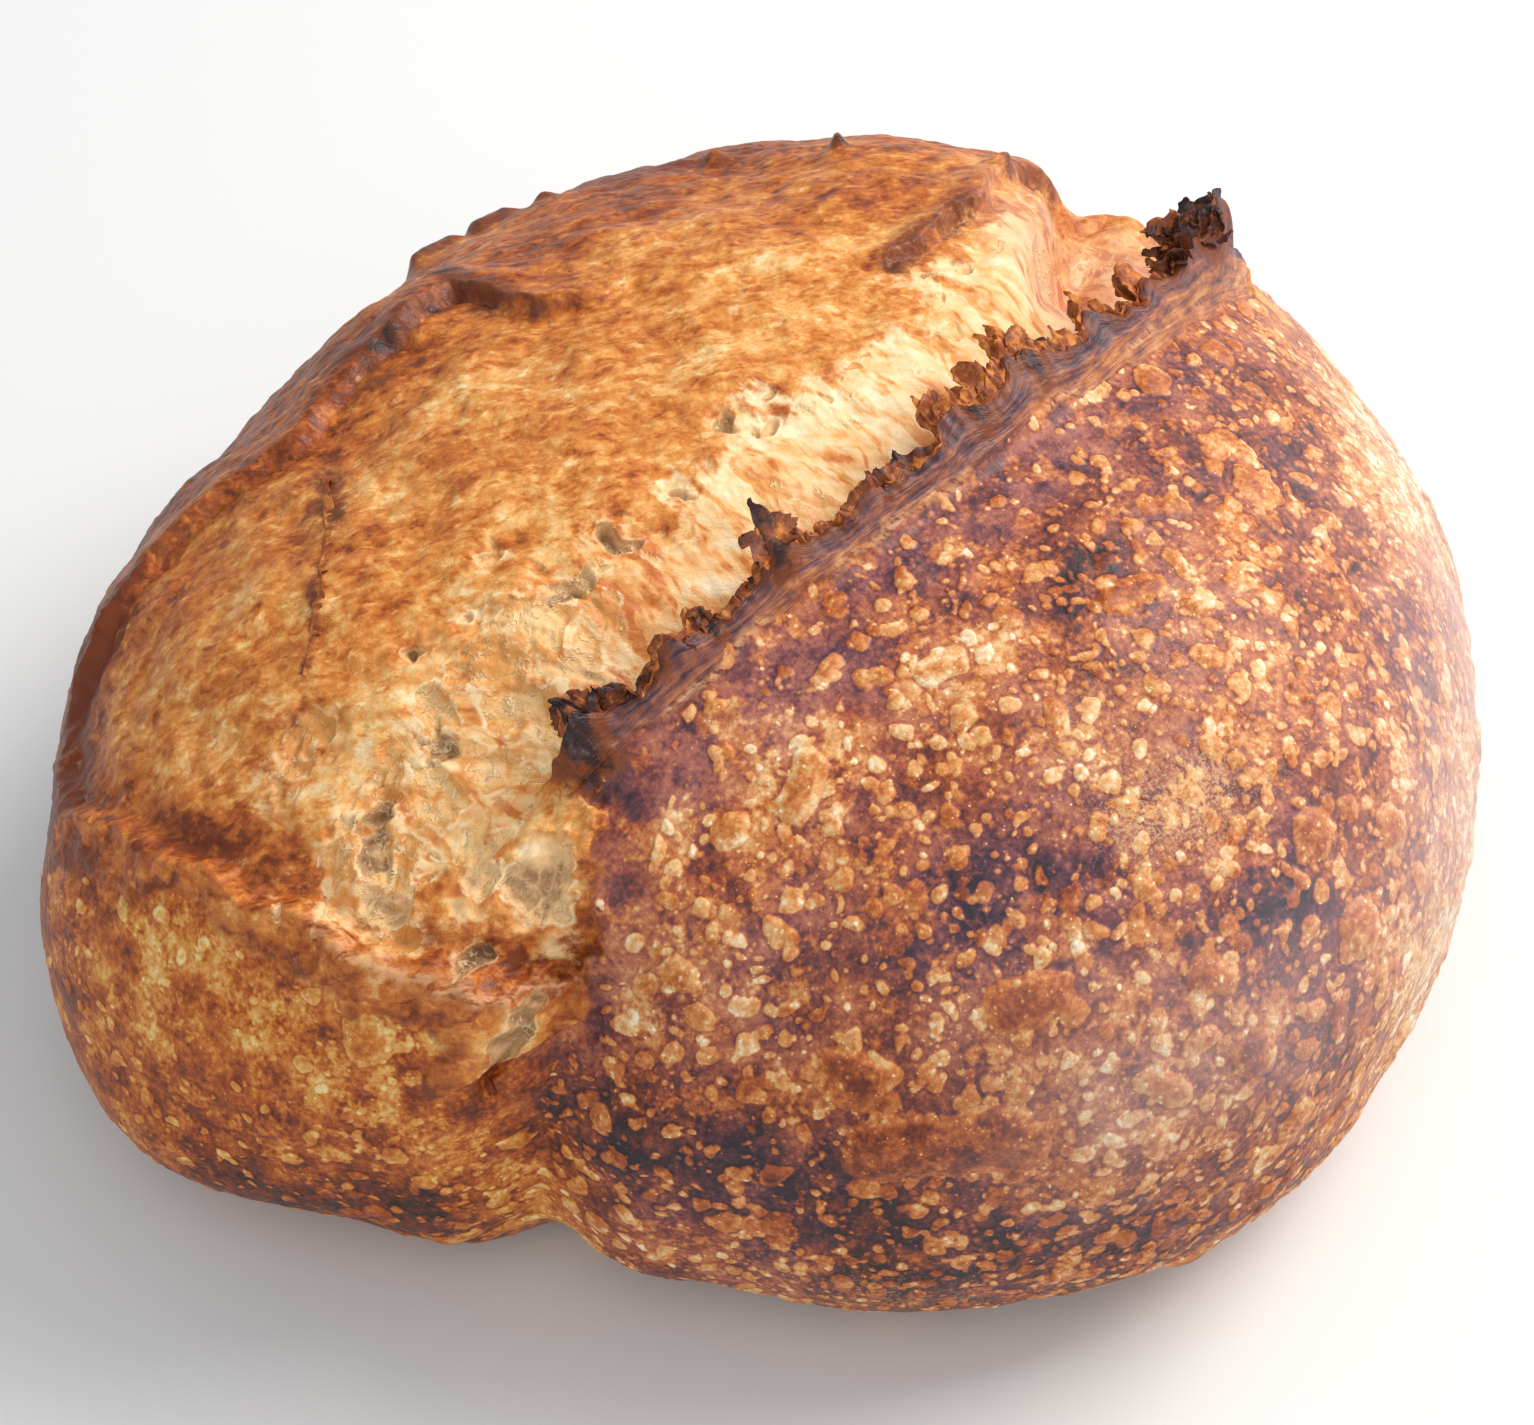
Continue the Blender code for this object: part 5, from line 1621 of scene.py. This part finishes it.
class Finishes:
    """All finishes of the loaf and the node groups that they share."""

    def __init__(self) -> None:
        """Builds the shared groups."""
        self.crust = self.crust_group(CrustColours())
        self.bloom = self.bloom_group(BloomColours(), Bloom().grain_bearing)
        self.char = self.char_group(CharColours())

    @staticmethod
    def crust_group(colours: CrustColours) -> Group:
        """Blistered crust: one level from scorched to pale, read through two colour ramps.

        The ground's level falls with the bake and is mottled by noise. Inside a blister of
        the masks it is drawn towards golden, and four sizes of dots make it paler.
        """
        group = Group("old_crust", (("Bake", "Float"), ("Plum", "Float"), ("Blister", "Float"),
                                    ("Tone", "Float"), ("Seeds", "Float"), ("Flour", "Float"),
                                    ("Haze", "Float")), LOOKS)
        sheet, given = group.sheet, group.input
        place = sheet.place()
        broad = sheet.noise(place, 5, 3.0, 0.6)
        fine = sheet.noise(place, 1.0, 2.0, 0.65)
        mottle = sheet.scaled(broad, 1.0, sheet.scaled(fine, 0.65, -0.825))
        level = sheet.scaled(given["Bake"], -0.85, sheet.plus(mottle, 0.78))
        # a thin darker ring round each blister's foot: partly scorched edge, partly painted shade where
        # the blister meets the ground
        edge = sheet.times(sheet.step(given["Blister"], -0.6, 0.0),
                           sheet.step(given["Blister"], 0.0, 0.3, 1.0, 0.0))
        level = sheet.scaled(edge, -0.07, level)
        blotch = sheet.step(sheet.noise(place, 8, 4.0, 0.6), 0.52, 0.6)
        level = sheet.scaled(blotch, 0.15, level)
        inside = sheet.step(given["Blister"], -0.08, 0.3)
        golden = sheet.scaled(level, 0.52, sheet.scaled(given["Tone"], 0.34, 0.27))
        golden = sheet.scaled(mottle, 0.35, golden)
        golden = sheet.plus(golden, sheet.step(given["Blister"], 1.0, 2.0, 0.0, -0.12))
        drawn = sheet.minus(golden, level)
        level = sheet.scaled(drawn, inside, level)
        height = sheet.times(fine, 0.1)
        bent = sheet.warp(place, 2.0, 0.8)
        for cell, least, most, share, lift, rise in colours.dots:
            distance, (kind, lot, pale) = sheet.dots(bent, cell)
            size = sheet.scaled(sheet.sum("POWER", kind, 2.0), most - least, least)
            chosen = sheet.sum("LESS_THAN", lot, sheet.times(given["Seeds"], share))
            into = sheet.minus(size, distance)
            dot = sheet.times(sheet.step(into, -0.03, 0.1), chosen)
            much = sheet.scaled(pale, lift, lift * 0.45)
            level = sheet.scaled(dot, much, level)
            if rise > 0:
                dome = sheet.times(sheet.step(into, 0.0, 0.22), chosen)
                height = sheet.scaled(dome, rise, height)
        plum = sheet.times(given["Plum"], sheet.scaled(inside, -0.85, 1.0))
        plum = sheet.times(plum, sheet.step(blotch, 0.0, 1.0, 1.0, 0.4))
        colour = sheet.blend(plum, sheet.ramp(level, colours.warm), sheet.ramp(level, colours.plum))
        # painted sheen: the crust drawn towards a pale bluish grey
        colour = sheet.blend(given["Haze"], colour, colours.haze)
        colour = sheet.blend(sheet.step(given["Plum"], 0.05, -0.3), colour, colours.honey, "MULTIPLY")
        dust = sheet.scaled(given["Flour"], 0.2, sheet.noise(place, 0.55, 1.0, 0.8))
        dust = sheet.sum("MULTIPLY", sheet.step(dust, 0.6, 0.72), given["Flour"], clamp=True)
        colour = sheet.blend(sheet.times(dust, 0.6), colour, colours.flour)
        rough = sheet.scaled(dust, 0.3, sheet.scaled(broad, 0.3, 0.3))
        return group.give(Color=colour, Roughness=rough, Height=height)

    @staticmethod
    def bloom_group(colours: BloomColours, bearing: float) -> Group:
        """Torn bloom: golden skin streaked along its fibres, pale webby crumb, open bubbles."""
        group = Group("torn_bloom", (("Tone", "Float"), ("Crumb", "Float"), ("Crumb Tone", "Float"),
                                     ("Hole", "Float"), ("Grey", "Float")), LOOKS)
        sheet, given = group.sheet, group.input
        place = sheet.place()
        bent = sheet.warp(place, 9, 6)
        fibres = sheet.noise(sheet.flow(bent, bearing, (0.4, 1.0, 0.6)), 1.9, 3.0, 0.7)
        threads = sheet.noise(sheet.flow(bent, bearing, (0.4, 1.0, 0.8)), 0.7, 2.0, 0.65)
        mottle = sheet.noise(place, 3.4, 4.0, 0.72)
        tone = sheet.mixed(given["Tone"], (fibres, 0.35), (threads, 0.3), (mottle, 1.25))
        blotch = sheet.noise(sheet.flow(bent, bearing, (0.6, 1.0, 0.8)), 2.6, 2.0, 0.6)
        tone = sheet.plus(tone, sheet.step(blotch, 0.54, 0.66, 0.0, -0.2))
        speck = sheet.noise(sheet.flow(bent, bearing, (0.6, 1.0, 0.8)), 1.7, 2.0, 0.5)
        tone = sheet.plus(tone, sheet.step(speck, 0.58, 0.7, 0.0, 0.2))
        tone = sheet.minus(tone, 0.95)
        skin = sheet.ramp(tone, colours.skin)
        pale = sheet.mixed(given["Crumb Tone"], (fibres, 0.4), (mottle, 0.7))
        pale = sheet.scaled(sheet.noise(place, 9, 2.0, 0.55), 0.7, pale)
        pulled = sheet.noise(sheet.flow(bent, 90 * DEG, (0.3, 1.0, 0.5)), 3.0, 2.0, 0.6)
        pale = sheet.plus(pale, sheet.step(pulled, 0.5, 0.64, 0.0, -0.45))
        pale = sheet.minus(pale, 0.82)
        crumb = sheet.ramp(pale, colours.crumb)
        frayed = sheet.mixed(given["Crumb"], (mottle, 7.0), (fibres, 4.0), (pulled, -9.0))
        in_crumb = sheet.step(frayed, -0.8, 2.8)
        colour = sheet.blend(in_crumb, skin, crumb)
        hollow = sheet.step(given["Hole"], 0.0, 0.35)
        # inside of a bubble: amber to grey-tan by its greyness, partly painted shade, and darker towards
        # its middle as painted shade in the hollow
        deep = sheet.scaled(sheet.step(given["Hole"], 0.1, 1.8), 0.3, sheet.minus(given["Grey"], 0.8))
        inside = sheet.ramp(sheet.scaled(mottle, 1.1, deep), colours.hollow)
        veins = sheet.sum("ABSOLUTE", sheet.minus(sheet.noise(place, 2.6, 2.0, 0.6), 0.5))
        strand = sheet.times(sheet.step(veins, 0.0, 0.05, 0.7, 0.0), sheet.step(mottle, 0.4, 0.6))
        inside = sheet.blend(strand, inside, colours.web)
        colour = sheet.blend(sheet.times(hollow, 0.88), colour, inside)
        lip = sheet.times(sheet.step(given["Hole"], -0.45, -0.1),
                          sheet.step(given["Hole"], 0.0, 0.25, 1.0, 0.0))
        lip = sheet.times(lip, sheet.step(mottle, 0.42, 0.58, 0.1, 0.9))
        lip = sheet.times(lip, sheet.step(given["Grey"], 0.0, 0.4, 0.35, 1.0))
        lip = sheet.times(lip, sheet.step(given["Grey"], 0.75, 0.95, 1.0, 0.45))
        colour = sheet.blend(lip, colour, colours.web)
        height = sheet.scaled(threads, 0.12, sheet.times(fibres, 0.12))
        height = sheet.scaled(mottle, 0.32, height)
        height = sheet.scaled(sheet.times(strand, hollow), 0.25, height)
        return group.give(Color=colour, Roughness=sheet.scaled(mottle, 0.3, 0.28), Height=height)

    @staticmethod
    def char_group(colours: CharColours) -> Group:
        """Burnt surface over any other: scorched brown first, then black with a blue sheen."""
        group = Group("burnt", (("Color", "Color"), ("Roughness", "Float"), ("Burn", "Float")), LOOKS)
        sheet, given = group.sheet, group.input
        place = sheet.place()
        crackle = sheet.noise(place, 1.3, 3.0, 0.65)
        burn = sheet.scaled(crackle, 0.7, given["Burn"])
        burn = sheet.minus(burn, 0.35)
        colour = sheet.blend(sheet.step(burn, 0.12, 0.5), given["Color"], colours.scorched)
        sheen = sheet.step(sheet.noise(place, 4, 2.0), 0.5, 0.7)
        dark = sheet.blend(sheen, colours.black, colours.sheen)
        colour = sheet.blend(sheet.step(burn, 0.45, 0.85), colour, dark)
        rough = sheet.scaled(sheet.step(burn, 0.3, 0.8), -0.04, given["Roughness"])
        height = sheet.times(crackle, sheet.step(given["Burn"], 0.1, 0.8, 0.0, 0.35))
        return group.give(Color=colour, Roughness=rough, Height=height)

    @staticmethod
    def start(name: str) -> tuple[Material, Sheet, Node]:
        """A new material with its Principled shader."""
        material = bpy.data.materials.new(name)
        material.use_nodes = True
        shader = material.node_tree.nodes["Principled BSDF"]
        shader.inputs["Specular IOR Level"].default_value = 0.3
        return material, Sheet(material.node_tree), shader

    @staticmethod
    def bump(sheet: Sheet, shader: Node, height: object) -> None:
        """Gives the shader a normal from a height in millimetres."""
        made = sheet.node("ShaderNodeBump", {"Strength": 1.0, "Distance": MM, "Height": height})
        sheet.feed(shader, "Normal", made.outputs[0])

    def old_crust(self, sheet: Sheet) -> dict[str, Socket]:
        """The crust group with the loaf's masks."""
        names = ("bake", "plum", "blister", "tone", "seeds", "flour", "haze")
        return self.crust.put(sheet, **{name.capitalize(): sheet.mask(name) for name in names})

    def heel_look(self, sheet: Sheet, colour: object) -> Socket:
        """Even, floury brown of the underside, over the crust's colour where the mask says so."""
        colours = CrustColours()
        place = sheet.place()
        fine = sheet.noise(place, 1.2, 3.0, 0.6)
        tone = sheet.scaled(fine, 0.4, sheet.noise(place, 14, 4.0, 0.6))
        below = sheet.ramp(sheet.minus(tone, 0.2), colours.heel)
        dust = sheet.scaled(fine, 0.7, sheet.noise(place, 22, 3.0, 0.6))
        below = sheet.blend(sheet.step(dust, 0.82, 1.0, 0.0, 0.7), below, colours.flour)
        return sheet.blend(sheet.mask("heel"), colour, below)

    def blistered(self, dress: Dress) -> Material:
        """Finish of the dome and the underside: old crust and its scorched patches."""
        material, sheet, shader = self.start(dress.value)
        crust = self.old_crust(sheet)
        colour = self.heel_look(sheet, crust["Color"]) if dress is Dress.HEEL else crust["Color"]
        burnt = self.char.put(sheet, Color=colour, Roughness=crust["Roughness"], Burn=sheet.mask("char"))
        sheet.feed(shader, "Base Color", burnt["Color"])
        sheet.feed(shader, "Roughness", burnt["Roughness"])
        self.bump(sheet, shader, sheet.plus(crust["Height"], burnt["Height"]))
        return material

    def torn(self) -> Material:
        """Finish beside the slash: old crust, the ear's rough band and the torn bloom."""
        material, sheet, shader = self.start(Dress.TORN.value)
        colours = CharColours()
        crust = self.old_crust(sheet)
        bloom = self.bloom.put(sheet, Tone=sheet.mask("skin_tone"), Crumb=sheet.mask("crumb"),
                               Crumb_Tone=sheet.mask("crumb_tone"), Hole=sheet.mask("hole"),
                               Grey=sheet.mask("grey"))
        place = sheet.place()
        split = sheet.node("ShaderNodeSeparateXYZ", {0: place})
        drawn = sheet.node("ShaderNodeCombineXYZ")
        sheet.feed(drawn, 0, sheet.times(split.outputs[0], 0.09))
        sheet.feed(drawn, 1, sheet.mask("start"))
        sheet.feed(drawn, 2, sheet.times(split.outputs[2], 0.1))
        grain = sheet.noise(sheet.warp(drawn.outputs[0], 0.9, 0.5), 0.5, 2.0, 0.65)
        blotch = sheet.noise(place, 4, 3.0, 0.65)
        cords = sheet.scaled(sheet.mask("cords"), 0.2, sheet.scaled(grain, 1.3, -0.75))
        cords = sheet.scaled(blotch, 1.1, cords)
        cords = sheet.plus(cords, sheet.step(sheet.mask("start"), -4 * MM, -0.5 * MM, 0.02, -0.3))
        band = sheet.step(sheet.mask("band"), 0.25, 0.75)
        colour = sheet.blend(band, crust["Color"], sheet.ramp(cords, colours.band))
        ragged = sheet.scaled(sheet.noise(place, 5, 3.0, 0.6), 5.0, sheet.mask("torn"))
        torn = sheet.step(ragged, 1.6, 3.6)
        # painted shade on the far crumb: the bloom drawn towards the same pale bluish grey
        inner = sheet.blend(sheet.mask("haze"), bloom["Color"], CrustColours().haze)
        colour = sheet.blend(torn, colour, inner)
        # painted highlight in pale strands along the near-end fold and the ear's crease
        pulled = sheet.noise(sheet.flow(place, Bloom.grain_bearing, (0.3, 1.0, 0.6)), 0.9, 2.0, 0.6)
        painted_highlight = sheet.times(sheet.mask("painted_highlight"), sheet.step(pulled, 0.38, 0.56))
        colour = sheet.blend(sheet.times(painted_highlight, 0.7), colour, CrustColours().painted_highlight)
        rough = sheet.plus(sheet.times(torn, bloom["Roughness"]),
                           sheet.times(sheet.minus(1.0, torn), crust["Roughness"]))
        burnt = self.char.put(sheet, Color=colour, Roughness=rough, Burn=sheet.mask("char"))
        height = sheet.plus(sheet.times(torn, bloom["Height"]),
                            sheet.times(sheet.minus(1.0, torn), crust["Height"]))
        height = sheet.scaled(sheet.times(band, grain), 0.4, height)
        sheet.feed(shader, "Base Color", burnt["Color"])
        sheet.feed(shader, "Roughness", burnt["Roughness"])
        self.bump(sheet, shader, sheet.plus(height, burnt["Height"]))
        return material

    def flake(self) -> Material:
        """Finish of flakes and fringe: rust and amber at the root, black towards the tip."""
        material, sheet, shader = self.start("charred_flake")
        colours = CharColours()
        place = sheet.place()
        patches = sheet.noise(place, 2.2, 4.0, 0.65)
        stops = ((0.3, colours.scorched), (0.48, colours.rust), (0.62, colours.amber))
        amber = sheet.ramp(patches, stops)
        burn = sheet.scaled(patches, -0.9, sheet.plus(sheet.mask("burn"), 0.5))
        burnt = self.char.put(sheet, Color=amber, Roughness=0.5, Burn=burn)
        sheet.feed(shader, "Base Color", burnt["Color"])
        sheet.feed(shader, "Roughness", burnt["Roughness"])
        self.bump(sheet, shader, burnt["Height"])
        return material

    def dresses(self) -> dict[Dress, Material]:
        """The finish of each kind of tile."""
        return {Dress.CRUST: self.blistered(Dress.CRUST), Dress.TORN: self.torn(),
                Dress.HEEL: self.blistered(Dress.HEEL)}


@dataclass
class Studio:
    """Pale floor, soft light from the upper right and the camera at the photograph's angle."""

    azimuth: float = -48 * DEG
    elevation: float = 48 * DEG
    distance: float = 0.6
    lens: float = 85.0
    sensor: float = 36.0
    aim: tuple = (-0.0016, 0.0048, 0.0448)
    floor_size: float = 3.0
    floor_tint: tuple = tint(238, 237, 235)
    sky: tuple = (0.86, 0.93, 1.0, 1.0)
    sky_strength: float = 0.55
    lights: tuple = (               # place, width, power, colour
        ((0.85, -0.35, 0.95), 0.8, 16.5, (1.0, 0.97, 0.92)),
        ((-0.6, -0.5, 0.9), 1.0, 2.6, (1.0, 0.98, 0.95)),
    )

    def camera(self) -> None:
        """Camera on a line at the azimuth and elevation, looking at the aim."""
        cos = np.cos(self.elevation)
        back = Vector((np.sin(self.azimuth) * cos, -np.cos(self.azimuth) * cos, np.sin(self.elevation)))
        data = bpy.data.cameras.new("camera")
        data.lens = self.lens
        data.sensor_width = self.sensor
        made = link("camera", data)
        made.location = Vector(self.aim) + back * self.distance
        made.rotation_euler = (-back).to_track_quat("-Z", "Y").to_euler()
        bpy.context.scene.camera = made

    def light(self) -> None:
        """Square soft lights turned to the loaf, and an even sky."""
        for number, (place, width, power, colour) in enumerate(self.lights):
            data = bpy.data.lights.new(f"soft_light_{number}", "AREA")
            data.size = width
            data.energy = power
            data.color = colour
            made = link(data.name, data)
            made.location = place
            made.rotation_euler = (-Vector(place)).to_track_quat("-Z", "Y").to_euler()
        world = bpy.data.worlds.new("sky")
        world.use_nodes = True
        world.node_tree.nodes["Background"].inputs["Color"].default_value = self.sky
        world.node_tree.nodes["Background"].inputs["Strength"].default_value = self.sky_strength
        bpy.context.scene.world = world
        bpy.context.scene.view_settings.view_transform = "Standard"

    def floor(self) -> Piece:
        """Plain pale floor."""
        half = self.floor_size / 2
        mesh = bpy.data.meshes.new("floor")
        corners = [(-half, -half, 0), (half, -half, 0), (half, half, 0), (-half, half, 0)]
        mesh.from_pydata(corners, [], [(0, 1, 2, 3)])
        material = bpy.data.materials.new("pale_floor")
        material.use_nodes = True
        shader = material.node_tree.nodes["Principled BSDF"]
        shader.inputs["Base Color"].default_value = self.floor_tint
        shader.inputs["Roughness"].default_value = 0.9
        mesh.materials.append(material)
        made = link("floor", mesh)
        return made


def main() -> None:
    """Builds the camera, the loaf, its flakes and the studio, and reports each piece."""
    logging.basicConfig(level=logging.INFO, format="%(message)s")
    studio = Studio()
    studio.camera()
    finishes = Finishes()
    loaf = Loaf(Dough(), Slash(), Bloom(), Crust(), Char())
    made = loaf.build(finishes.dresses())
    charred = finishes.flake()
    made += Fringe(loaf).build(charred)
    made += Flakes(loaf).build(charred)
    for piece in made:
        LOG.info("%s: %d faces", piece.name, len(piece.data.polygons))
    studio.floor()
    studio.light()


if __name__ == "__main__":
    main()
